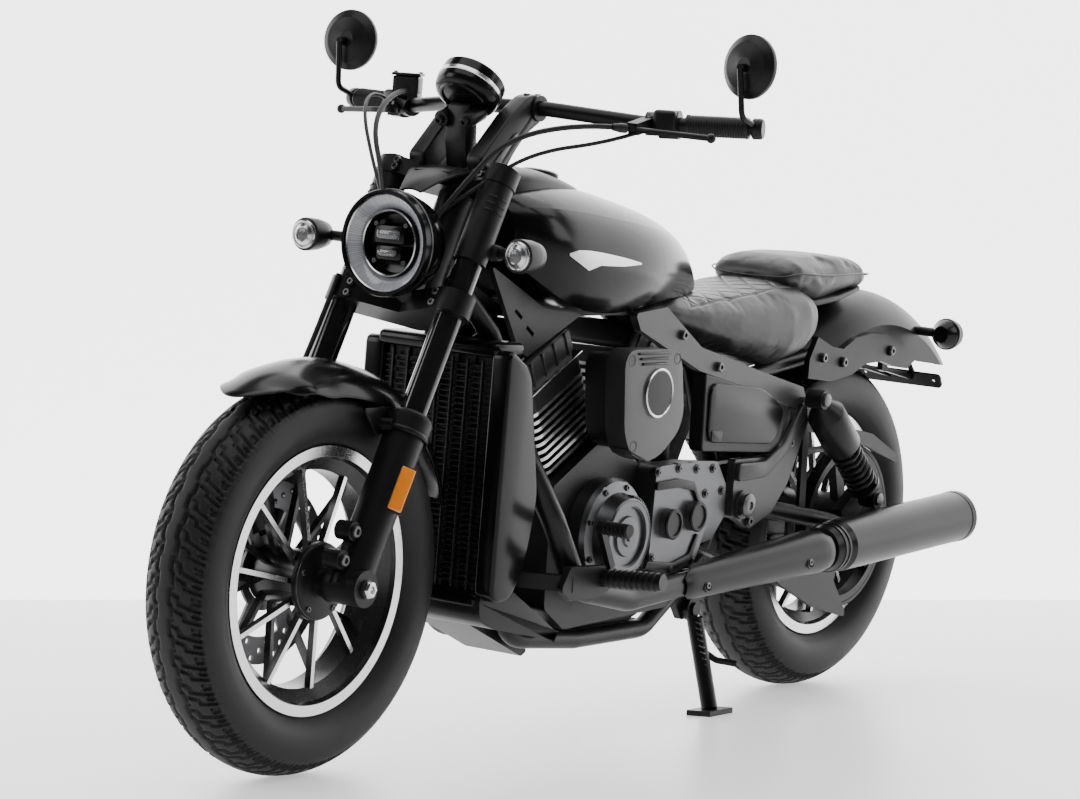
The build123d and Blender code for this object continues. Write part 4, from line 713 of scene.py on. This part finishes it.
for y in (1, -1):
    back = Vector((1, -0.12 * y, 0.05))
    spot = Vector((1000, 420 * y, 1183))
    settle(turned("mirror_glass", [(49, -0.6), (25, -1.4), (0, -1.6)], spot, back, 64), "fork",
        mirror_glass)
    settle(turned("mirror_rings", [(52.4, -1), (53.4, 1), (53.4, 8), (50, 10), (41, 17.4), (39, 18.2),
        (16, 20.6), (14, 22), (0, 22)], spot, back, 64), "fork", satin_black)


# ---- seats
def upright_parts(finish):
    """x, y and z of a surface point on the upright bike, in millimetres; z from the rear axle."""
    return finish.parts(finish.place(rear_hub, (LEAN, 0, 0), (1000, 1000, 1000)))


def cushion(name, rows, roundness=2.7):
    """Closed cushion through sections: x, half width, bottom z, top z."""
    rings = []
    for x, half, low, high in rows:
        ring = []
        for k in range(41):
            turn = tau * k / 40
            c, s = cos(turn), sin(turn)
            size = (abs(c) ** roundness + abs(s) ** roundness) ** (-1 / roundness)
            ring.append(Vector((x, half * c * size, (low + high) / 2 + (high - low) / 2 * s * size)))
        rings.append(ring)
    return skinned(name, rings, closed=True)


VOXEL, PRESSURE, PUFF_STEPS = 0.006, 4, 20


def puffed(piece, body, finish, limit, replaces):
    """Cushion blown up softly in a short cloth pass, then placed."""
    settle(piece, body, finish, replaces, smooth=60)
    apply(piece, "REMESH", mode="VOXEL", voxel_size=VOXEL)
    before = [vertex.co.copy() for vertex in piece.data.vertices]
    cloth = piece.modifiers.new("Cloth", "CLOTH")
    cloth.settings.use_pressure = True
    cloth.settings.uniform_pressure_force = PRESSURE
    cloth.settings.effector_weights.gravity = 0
    for step in range(1, PUFF_STEPS + 1):
        bpy.context.scene.frame_set(step)
    bpy.ops.object.modifier_apply(modifier=cloth.name)
    for vertex, old in zip(piece.data.vertices, before):
        move = vertex.co - old
        vertex.co = old + move * min(1.0, limit / max(move.length, 1e-9))
    bpy.context.scene.frame_set(1)
    apply(piece, "SUBSURF", levels=1)
    bpy.ops.object.shade_smooth()
    return piece


leather = Finish("seat_leather", (0.014, 0.014, 0.0148), 0.40, Specular_IOR_Level=0.50)
leather.vary(18, 0.2, 0.12, 0.25, 420, 0.0007)
quilted = Finish("quilted_leather", (0.014, 0.014, 0.0148), 0.40, Specular_IOR_Level=0.50)
quilted.vary(18, 0.2, 0.12)
px, py, pz = upright_parts(quilted)
QUILT_HALF_WIDTH, QUILT_REAR, QUILT_FRONT, QUILT_LOW, ROW_CURVE = 88, 214, 600, 395, 0.0035
inside = 1 - py.size().above(QUILT_HALF_WIDTH, 3)
inside = inside * px.above(QUILT_REAR, 4) * (1 - px.above(QUILT_FRONT, 4)) * pz.above(QUILT_LOW, 6)


def pillows(slope, width=58, edge=11):
    """Height of quilting between slanted, slightly curved rows of stitches."""
    line = (px + py * slope + py * py * ROW_CURVE) / width
    away = line.maths("PINGPONG", line, 0.5) * width
    return line.maths("POWER", (away / edge).maths("MINIMUM", away / edge, 1.0), 0.5)


quilt = px.maths("MINIMUM", pillows(1.15), pillows(-1.15))
border = (py.size() - QUILT_HALF_WIDTH).size() / 8
quilt = 1 - inside * (1 - quilt.maths("MINIMUM", quilt, border.maths("MINIMUM", border, 1.0)))
quilted.bump(quilt + quilted.noise(420, 2.0) * 0.06, 0.9, 0.005)
seat = cushion("rider_seat_cushion", [(712, 40, 742, 762), (700, 66, 734, 765), (640, 92, 708, 766),
    (560, 112, 686, 765), (470, 126, 666, 768), (380, 134, 650, 776), (300, 138, 640, 786), (235, 134, 650,
    790), (200, 124, 672, 784), (184, 108, 700, 770), (180, 80, 720, 752)])
puffed(seat, "frame", quilted, 0.007, ["rider_seat"])
PILLION = [(264, 62, 786, 808), (256, 84, 780, 822), (230, 95, 774, 834), (150, 99, 754, 838),
    (60, 97, 766, 836), (-20, 90, 776, 830), (-48, 76, 784, 820), (-55, 54, 792, 810)]
puffed(cushion("pillion_cushion", PILLION, 3.2), "frame", leather, 0.006, ["pillion_seat"])
band = [(x, half + 4.0, low + (high - low) * 0.62) for x, half, low, high in PILLION]
welt = bar("pillion_welt", [(band[0][0] + 3, 0, band[0][2])] + band + [(band[-1][0] - 3, 0, band[-1][2])],
    1.6, 2)
settle(both(welt), "frame", leather)
base = cushion("pillion_base", [(250, 70, 770, 784), (150, 84, 742, 762), (60, 84, 752, 772), (-30, 74, 770,
    786)], 4)
settle(base, "frame", satin_black)

# ---- tank badge
BADGE_THICKNESS, BADGE_OFF_TANK = 1.6, 0.0012
blade = [(1085, 854, 850), (1060, 860, 838), (1031, 859, 825), (1000, 856, 834), (930, 847, 832),
    (873, 838, 835)]
badge = skinned("tank_badge", [[Vector((x, 150, low + (high - low) * k / 4)) for x, high, low in blade]
    for k in range(5)])
badge = both(apply(badge, "SUBSURF", levels=2, subdivision_type="SIMPLE"))
badge.data.transform(UPRIGHT)
apply(badge, "SHRINKWRAP", target=nodes["fuel_tank"], wrap_method="NEAREST_SURFACEPOINT",
    wrap_mode="ABOVE_SURFACE", offset=BADGE_OFF_TANK)
badge.data.transform(UPRIGHT.inverted())
brushed = Finish("brushed_badge", (0.60, 0.61, 0.62), 0.30, metallic=1.0)
brushed.vary(30, 0.12, 0.25)
settle(apply(badge, "SOLIDIFY", thickness=BADGE_THICKNESS, offset=0), "frame", brushed)

# ---- engine
CRANK, CYLINDER_LEAN = Vector((869, 0, 365)), 28
FIN_HALF_LENGTH, FIN_HALF_WIDTH, FIN_CORNER = 66, 64, 20.6
fins = Finish("finned_cylinder", (0.014, 0.014, 0.015), 0.42, metallic=0.2)
ex, ey, ez = upright_parts(fins)


def off_cylinder(side):
    """1 on the outer edges of the fins of the cylinder that leans to a side."""
    lean = radians(CYLINDER_LEAN * side)
    across = (ex - CRANK.x) * cos(lean) - (ez - (CRANK.z - REAR_AXLE.z)) * sin(lean)
    u = across.maths("MAXIMUM", across.size() - FIN_HALF_LENGTH, 0.0)
    v = across.maths("MAXIMUM", ey.size() - FIN_HALF_WIDTH, 0.0)
    return ((u * u + v * v) ** 0.5).above(FIN_CORNER, 0.3)


front_side = ex.above(CRANK.x, 2)
bright = off_cylinder(1) * front_side + off_cylinder(-1) * (1 - front_side)
fins.set("Base Color", fins.blend(bright, fins.color, (0.62, 0.62, 0.63, 1)))
fins.set("Metallic", bright * 0.8 + 0.2)
fins.set("Roughness", fins.noise(60) * 0.12 + 0.26)
fins.bump(fins.noise(600), 0.3, 0.0004)
dress("cylinders", fins)


def on_cylinder(side):
    return Matrix.Translation(CRANK) @ about("Y", CYLINDER_LEAN * side)


for side in (1, -1):
    cover = ease(block("cover", (0, 0, 342), (156, 166, 56), 0), 14, 4)
    seam = block("seam", (0, 0, 312), (170, 178, 3), 0.8)
    top = ease(block("top", (0, 0, 372), (112, 120, 12), 0), 5, 3)
    bits = [paint(cover, cast_black), paint(seam, bright_steel), paint(top, cast_black)]
    for x in (-62, 62):
        for y in (-70, 70):
            bits.append(screw((x * 0.86, y * 0.92, 369), UP, 7))
    for k in range(4):
        bits.append(paint(block("rib", (-54 + 36 * k, 83.5, 342), (6, 3, 44), 1.2), cast_black))
    head = join("cylinder_head_cover", *bits)
    head.data.transform(on_cylinder(side))
    settle(head, "frame")

ROUND_BADGE = (860, 197, 618)
pentagon = [(976, 697), (956, 532), (913, 500), (848, 497), (765, 560), (792, 693)]
middle = Vector((880, 0, 606))
neck, face = ([(middle.x + (x - middle.x) * share, middle.z + (z - middle.z) * share) for x, z in pentagon]
    for share in (0.84, 0.98))
bits = [paint(slab("flange", neck, 108.3, 168, 26, 4), cast_black), paint(slab("cover", face, 158, 198, 34,
    16, 6), casting_grey)]
for k in range(3):
    bits.append(paint(block("rib", (880, 198, 687 - 9 * k), (104 - 14 * k, 8, 4.5), 2), cast_black))
for x, z in ((950, 676), (925, 528), (806, 676)):
    bits.append(paint(turned("well", [(0, 0), (7, 0), (7, 5), (10, 5.5), (12, 3), (12, 0)], (x, 193, z),
        LEFT, 32), satin_black))
    bits.append(screw((x, 194, z), LEFT, 6, 4))
bits.append(paint(turned("badge", [(0, 0), (40, 0), (40, 4.5), (0, 5.5)], ROUND_BADGE, LEFT, 72),
    gloss_black))
bits.append(paint(turned("ring", [(39, 0), (43, 0), (43, 5), (41, 6), (39, 5)], ROUND_BADGE, LEFT, 72),
    bright_steel))
settle(join("air_cleaner_cover", *bits), "frame", replaces=["air_cleaner"])

ALTERNATOR = Vector((880, 108.3, 366))
bits = [paint(turned("bell", [(0, 20), (97, 20), (97.5, 28), (92, 36), (80, 39), (74, 40), (70, 52),
    (66.5, 66), (64, 68), (54, 68), (52, 61), (36, 61), (34, 65.5), (18, 66), (16, 69.5), (0, 69.5)],
    ALTERNATOR, LEFT, 96), satin_grey), paint(turned("edge", [(64, 66.5), (65.6, 68.6), (63.8, 69.4),
    (62, 68)], ALTERNATOR, LEFT, 96), satin_grey), paint(turned("hex", [(0, 69), (9, 69), (9, 73), (0, 73)],
    ALTERNATOR, LEFT, 6), dark_steel)]
for k in range(8):
    angle = tau * k / 8 + 0.3
    spot = ALTERNATOR + on_circle(84, angle, 36)
    bits.append(paint(turned("boss", [(0, 0), (11, 0), (10, 8), (0, 9)], spot - Vector((0, 8, 0)), LEFT,
        24), satin_grey))
    bits.append(screw(spot + Vector(LEFT), LEFT, 5.5))
for k in range(28):
    angle = radians(100 + 5 * k)
    wedge = block("scallop", on_circle(70, angle, 52), (4, 26, 4), 1)
    wedge.data.transform(Matrix.Translation(ALTERNATOR))
    bits.append(paint(wedge, satin_grey))
settle(join("alternator_cover", *bits), "frame")
bits = []
for x, z in ((722, 377), (642, 386)):
    bits.append(paint(turned("cap", [(0, 56), (20, 56), (22, 53), (25, 53), (27.5, 56), (27.5, 59),
        (25, 61), (21, 61), (20, 58), (0, 58)], (x, 108.3, z), LEFT, 48), satin_black))
for (x, z) in ((768, 470), (700, 474), (640, 470), (604, 424), (632, 306), (704, 296), (766, 318),
        (536, 462), (500, 420)):
    height = 152.3 if x > 600 else 122.3
    bits.append(paint(turned("boss", [(0, -10), (9, -10), (9, 1), (0, 2)], (x, height, z), LEFT, 20),
        cast_black))
    bits.append(screw((x, height + 1.5, z), LEFT, 4.6))
ridge = [(772, 452), (700, 456), (650, 448), (622, 410), (622, 398), (650, 432), (700, 440), (772, 438)]
bits.append(paint(slab("ridge", ridge, 150, 158, 4, 2), cast_black))
low_ridge = [(790, 300), (700, 292), (640, 306), (618, 350), (626, 354), (648, 318), (702, 306), (784, 314)]
bits.append(paint(slab("low_ridge", low_ridge, 150, 157, 4, 2), cast_black))
settle(join("drive_cover_details", *bits), "frame")

# ---- side panel, castings and exhaust
inset = slab("side_panel_inset", [(586, 620), (582, 512), (350, 500), (318, 566), (404, 606)], 131, 137, 22,
    3.5, 4)
notch = slab("notch", [(576, 534), (536, 532), (540, 512), (574, 514)], 136.5, 139, 5, 1)
settle(both(join("side_panel_inset", paint(inset, gloss_black), paint(notch, satin_black))), "frame")
bits = [screw((x, 131.3, z), LEFT, 9) for x, z in ((250, 575), (690, 708), (560, 648), (412, 360),
    (288, 500), (460, 456))]
bits.append(paint(turned("pivot_cap", [(0, 0), (22, 0), (22, 5), (17, 8), (8, 8), (7, 5), (0, 5)],
    (440, 144.5, 392), LEFT, 40), dark_steel))
bits.append(paint(slab("casting_arm", [(470, 470), (380, 470), (318, 500), (256, 572), (240, 560),
    (300, 486), (372, 440), (470, 436)], 131, 141, 8, 3), casting_grey))
settle(both(join("frame_casting_details", *bits)), "frame")


def around(start, end, angle, radius):
    """Point around a line, at an angle from straight out to the left."""
    along = (end - start).normalized()
    out = (Vector(LEFT) - along * along.y).normalized()
    return (out * cos(angle) + along.cross(out) * sin(angle)) * radius


start, end = Vector((706, 169, 267)), Vector((262, 197.5, 306))
SHIELD_ROWS, SHIELD_HALF_COLUMNS = 24, 12
rings = []
for step in range(SHIELD_ROWS + 1):
    share = step / SHIELD_ROWS
    radius = 27 + 14 * share + (2 if 0.04 < share < 0.96 else 0)
    reach = radians(100 + 30 * share) * min(1.0, 0.35 + 6 * min(share, 1 - share))
    rings.append([start.lerp(end, share) + around(start, end, reach * (k / SHIELD_HALF_COLUMNS - 1), radius)
        for k in range(2 * SHIELD_HALF_COLUMNS + 1)])
shield = ease(skinned("heat_shield_cover", rings, 2.5), 0.8, 2, 60)
bits = [paint(shield, exhaust_black)]
for share in (0.13, 0.82):
    spot = start.lerp(end, share) + around(start, end, 0.15, 28.5 + 14 * share)
    bits.append(paint(turned("well", [(0, -3), (8, -3), (9, 1), (11.5, 1.5), (12.5, -2)], spot,
        (0, 1, 0.15), 32), satin_black))
    bits.append(screw(spot - Vector((0, 3, 0)), (0, 1, 0.15), 6.5))
settle(join("heat_shield_cover", *bits), "frame", replaces=["heat_shield"])
pipe_start, pipe_end = Vector((250, 198, 307)), Vector((-240, 213, 343))
span = pipe_end - pipe_start
bits = [paint(turned("band", [(44, at), (46, at + 1), (46, at + 5), (44, at + 6)], pipe_start, span, 72),
    exhaust_black) for at in (16, 30)]
bits.append(paint(turned("end_ring", [(49, span.length - 16), (50, span.length - 15), (50, span.length - 1),
    (48, span.length), (36, span.length), (34, span.length - 4)], pipe_start, span, 72), satin_black))
settle(join("silencer_rings", *bits), "frame")

# ---- shock absorbers, pegs and rear end
top, bottom = Vector((254, 166, 584)), Vector((22, 166, 386))
line = (top - bottom).normalized()
bits = [paint(turned("cover", [(0, 296), (14, 292), (22, 280), (34, 262), (36, 258), (36, 168), (34, 164),
    (0, 164)], bottom, line, 48), satin_black), paint(turned("foot", [(0, 14), (14, 14), (16, 34), (31, 38),
    (31, 46), (10, 48), (10, 170), (0, 170)], bottom, line, 48), satin_black)]
for spot in (top, bottom):
    bits.append(paint(turned("eye", [(9, -17), (18, -17), (18, 17), (9, 17)], spot, LEFT, 40), satin_black))
    bits.append(paint(turned("bolt", [(0, -20), (8, -20), (8, 17), (12, 17), (12, 22), (6, 24), (0, 23)],
        spot, LEFT, 24), dark_steel))
side, up = Vector(LEFT), line.cross(Vector(LEFT))
COIL_TURNS, TURN_POINTS, COIL_START, COIL_LENGTH, COIL_RADIUS, WIRE_RADIUS = 7, 14, 50, 112, 26, 4.6
coil = []
for k in range(COIL_TURNS * TURN_POINTS + 1):
    turn = tau * k / TURN_POINTS
    climb = COIL_START + k * COIL_LENGTH / (COIL_TURNS * TURN_POINTS)
    coil.append(bottom + line * climb + (side * cos(turn) + up * sin(turn)) * COIL_RADIUS)
bits.append(paint(bar("spring", coil, WIRE_RADIUS, 2), satin_black))
settle(both(join("shock_absorbers", *bits)), "frame", replaces=["shocks"])

bits = []
for k in range(9):
    share = k / 9
    spot = Vector((983, 206, 304.8)).lerp(Vector((975.5, 306, 311.6)), share)
    bits.append(turned("rib", [(14, 0), (17, 1), (17, 6), (14, 7)], spot, (-0.0966, 0.9912, 0.0772), 28))
for k in range(6):
    bits.append(turned("rib", [(10, 0), (12.6, 1), (12.6, 5), (10, 6)], (1010.5 + 0.6 * k, 210 + 9 * k,
        394.2), (0.06, 1, 0.03), 24))
settle(both(join("peg_rubbers", *[paint(bit, soft_rubber) for bit in bits])), "frame")
bits = [screw((x, 108, z), LEFT, 9) for x, z in ((72, 642), (-110, 660), (150, 652))]
settle(both(join("strut_screws", *bits)), "frame")
bulb = [paint(turned("bulb", [(0, -2), (16, -1), (27, 12), (30, 28), (27, 42), (16, 51), (0, 54)],
    (-218, 158, 695), (-1, 0, 0), 48), gloss_black), paint(turned("ring", [(29.6, 20), (31, 21), (31, 26),
    (29.8, 27)], (-218, 158, 695), (-1, 0, 0), 48), dark_steel), paint(rod("stem", (-240, 92, 696),
    (-240, 136, 695), 9), satin_black)]
settle(both(join("rear_signals", *bulb)), "frame")
settle(ease(block("tail_lamp", (-417, 0, 650), (10, 62, 16), 0), 4, 3), "frame", red_lens)

# ---- handlebar details and cords
tip, root = Vector((978, 412, 1082)), Vector((1040, 240, 1078))
along = (tip - root).normalized()
bits = [paint(turned("grip", [(12.9, 0), (18.5, 0), (18.5, 4)] + [spot for k in range(22)
    for spot in ((18.3, 5 + 4.4 * k), (17.2, 6.2 + 4.4 * k), (17.2, 8.2 + 4.4 * k), (18.3, 9.2 + 4.4 * k))]
    + [(17, 106), (12.9, 106)], tip - along * 108, along, 40), soft_rubber),
    paint(turned("end", [(0, 0), (16, 0), (17.5, 2), (17.5, 14), (15, 18), (0, 18)], tip + along * 4, along,
    40), satin_black), paint(ease(block("switch", root + along * 44 + Vector((8, 0, 4)), (46, 40, 40), 0,
    about("Z", 20)), 8, 3), satin_black), paint(block("button", root + along * 44 + Vector((-14, -4, 14)),
    (8, 12, 10), 2), satin_grey), screw(root + along * 20 + Vector((14, 0, 10)), (0.6, 0, 0.8), 5)]
settle(both(join("grip_and_switches", *bits)), "fork", replaces=["grips"])
reservoir = ease(block("reservoir", (1098, -214, 1112), (60, 46, 34), 0, about("Z", 30)), 7, 3)
lid = ease(block("lid", (1098, -214, 1131), (64, 50, 5), 0, about("Z", 30)), 2, 2)
bits = [paint(reservoir, cast_black), paint(lid, satin_black)]
for x, y in ((1078, -202), (1118, -226)):
    bits.append(screw((x, y, 1133), UP, 3.5))
settle(join("brake_reservoir", *bits), "fork")
bits = [paint(turned("boot", [(0, 0), (8, 0), (8, 10), (6, 24), (5, 26), (0, 26)], (1105, 250, 1068.3),
    (0.92, -0.38, 0.03), 24), soft_rubber)]
for y in (60, -60):
    for dx in (-16, 16):
        bits.append(screw((1111 + dx, y, 1109), UP, 5.5))
settle(join("bar_clamp_screws", *bits), "fork")


# A curve's box reaches this far past its points, so it is small and the thickness is scaled up to match.
POINT_RADIUS = 0.005


def measured(curve):
    """Length of a curve's own line, in metres."""
    thick, curve.data.bevel_depth = curve.data.bevel_depth, 0.0
    mesh = curve.evaluated_get(bpy.context.evaluated_depsgraph_get()).to_mesh()
    length = sum((mesh.vertices[a].co - mesh.vertices[b].co).length for a, b in (edge.vertices
        for edge in mesh.edges))
    curve.data.bevel_depth = thick
    return length


def cord(name, points, radius, replaces=(), along_fork=False):
    """Hose or cable through the route's points, on the steering."""
    place = STEERED @ FORK if along_fork else STEERED
    line = [place @ Vector(point) for point in points]
    piece = curve(name, line, radius / 1000 / POINT_RADIUS, 4, 16, POINT_RADIUS)
    piece.data.materials.append(soft_rubber.material)
    bpy.context.view_layer.update()
    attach(piece, "fork")
    if replaces:
        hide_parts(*replaces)
    measured(piece)


cord("clutch_cable", [(1103.3, 247.1, 1068.5), (1180, 214, 1072), (1284, 140, 1040), (1318, 84, 960),
    (1347, 53.5, 902)], 4.5, ["control_cables"])
cord("master_hose", [(1122.6, -197, 1104), (1190, -176, 1100), (1284, -140, 1046), (1318, -84, 960),
    (1347, -53.5, 902)], 4.5, ["control_cables"])
cord("front_brake_hose", [(37.8, -110, 516), (37.8, -110, 430), (45, -109, 300), (60, -98, 220),
    (88, -74, 110)], 4.5, ["brake_hose"], along_fork=True)
cord("throttle_cable", [(1082, -262, 1082), (1150, -246, 1102), (1250, -190, 1070), (1300, -120, 980),
    (1340, -60, 916)], 3.2)
cord("switch_wiring", [(1070, 262, 1066), (1130, 236, 1044), (1236, 160, 1020), (1290, 96, 960),
    (1338, 60, 915)], 3.4)

# ---- tank console and radiator covers
console = []
for x, half, low, high in ((1160, 30, 936, 960), (1150, 48, 934, 978), (1120, 62, 944, 988), (1060, 62, 950,
        990), (1000, 56, 948, 982), (940, 46, 944, 968), (900, 34, 940, 957), (884, 18, 938, 950)):
    console.append([Vector((x, half * sin(radians(turn)), low + (high - low) * cos(radians(turn)) ** 0.55))
        for turn in range(-90, 91, 9)])
cap = turned("cap", [(0, 0), (31, 0), (33, 3), (33, 8), (29, 11), (12, 12), (11, 9), (0, 9)], (985, 0, 972),
    (-0.17, 0, 1), 64)
settle(join("tank_console_cover", paint(apply(skinned("console", console, 3), "SUBSURF", levels=1),
    satin_black), paint(cap, gloss_black)), "frame", replaces=["tank_console"])
cover = slab("side", [(1246, 700), (1176, 660), (1130, 440), (1148, 350), (1188, 272), (1246, 272)], 112,
    150, 22, 14, 4)
top = ease(block("top", (1206, 0, 690), (84, 250, 26), 0), 11, 4)
foot = ease(block("foot", (1214, 0, 272), (66, 240, 26), 0), 11, 4)
settle(join("radiator_cover", both(paint(cover, gloss_black)), paint(top, gloss_black), paint(foot,
    gloss_black)), "frame")
slats = [paint(block("slat", (1236, 0, 300 + 9.5 * k), (3, 216, 2.2), 0), cast_black) for k in range(39)]
bars = [paint(block("upright", (1239, 30.8 * (k - 3), 480), (5, 4, 384), 1), satin_black) for k in range(7)]
settle(join("radiator_grille", *slats, *bars), "frame")
for y in (1, -1):
    slots = []
    for k in range(3):
        for turn in (35, 80):
            spot = Matrix.Translation((0, y * FORK_HALF_TRACK, 690 - 12 * k)) @ about("Z", y * turn)
            slot = block("slot", (28, 0, 0), (1.6, 14, 4), 0.5)
            slot.data.transform(spot)
            slots.append(paint(slot, soft_rubber))
    settle(join("shroud_slots", *slots), "fork", along_fork=True)

# ---- underside
chin = slab("chin", [(1246, 284), (1242, 240), (1206, 224), (1012, 188), (1002, 200), (1090, 250),
    (1180, 300)], -126, 126, 14, 9, 4)
pan = slab("sump_pan", [(985, 236), (940, 200), (860, 166), (716, 180), (650, 198), (640, 240)], -64, 64,
    12, 8, 3)
settle(join("belly_covers", paint(chin, satin_black), paint(pan, cast_black)), "frame")
spring = [Vector((508 + 4 * k / 60, 100 + 34 * k / 60, 176 - 100 * k / 60)) + Vector((5 * cos(k), 5
    * sin(k), 0)) for k in range(61)]
settle(bar("stand_spring", spring, 1.4, 1), "side_stand", dark_steel)


# ---- room
def flat(name, size, place, turn, finish):
    sheet = basic(name, bpy.ops.mesh.primitive_plane_add, size=size, location=place, rotation=turn)
    paint(sheet, finish)


floor_grey = Finish("studio_floor", (0.74, 0.735, 0.735), 0.34, Emission_Strength=0.55)
floor_grey.set("Emission Color", (1, 0.975, 0.965, 1))
floor_grey.vary(0.8, 0.03, 0.2)
wall_grey = Finish("studio_wall", (0.88, 0.88, 0.885), 0.9, Emission_Strength=3.0)
wall_grey.vary(0.6, 0.015, 0.05)
wall_grey.set("Emission Color", (1, 1, 1, 1))
behind = wall_grey.node("ShaderNodeNewGeometry", output=6)
clear = wall_grey.node("ShaderNodeBsdfTransparent")
one_sided = wall_grey.node("ShaderNodeMixShader", {}, {0: behind, 1: Wire(wall_grey,
    wall_grey.shader.outputs[0]), 2: clear})
wall_grey.plug(wall_grey.tree.nodes["Material Output"].inputs["Surface"], one_sided)
flat("studio_floor", ROOM_SIZE, (0, 0, 0), (0, 0, 0), floor_grey)
away = heading(CAMERA_YAW, 0)
wall_at = Vector((eye.x, eye.y, 0)) + away * WALL_DISTANCE
flat("studio_wall", ROOM_SIZE, wall_at + Vector((0, 0, WALL_TOP - ROOM_SIZE / 2)), (radians(90), 0,
    radians(CAMERA_YAW - 90)), wall_grey)


def soft_light(place, target, size, power):
    bpy.ops.object.light_add(type="AREA", location=place)
    lamp = bpy.context.object
    lamp.data.shape, lamp.data.size, lamp.data.size_y = "RECTANGLE", *size
    lamp.data.energy = power
    aim(lamp, Vector(target) - Vector(place))


soft_light((0.2, 0.3, 3.4), (0.2, 0, 0), (4.5, 3.0), 115)
soft_light((3.2, -2.6, 2.4), (0.3, 0, 0.5), (1.6, 2.4), 60)
soft_light((-1.6, 3.4, 2.6), (0, 0, 0.5), (1.6, 2.4), 50)
world = bpy.data.worlds.new("studio")
bpy.context.scene.world = world
world.use_nodes = True
world.node_tree.nodes["Background"].inputs["Color"].default_value = (0.86, 0.87, 0.88, 1)
world.node_tree.nodes["Background"].inputs["Strength"].default_value = 0.06
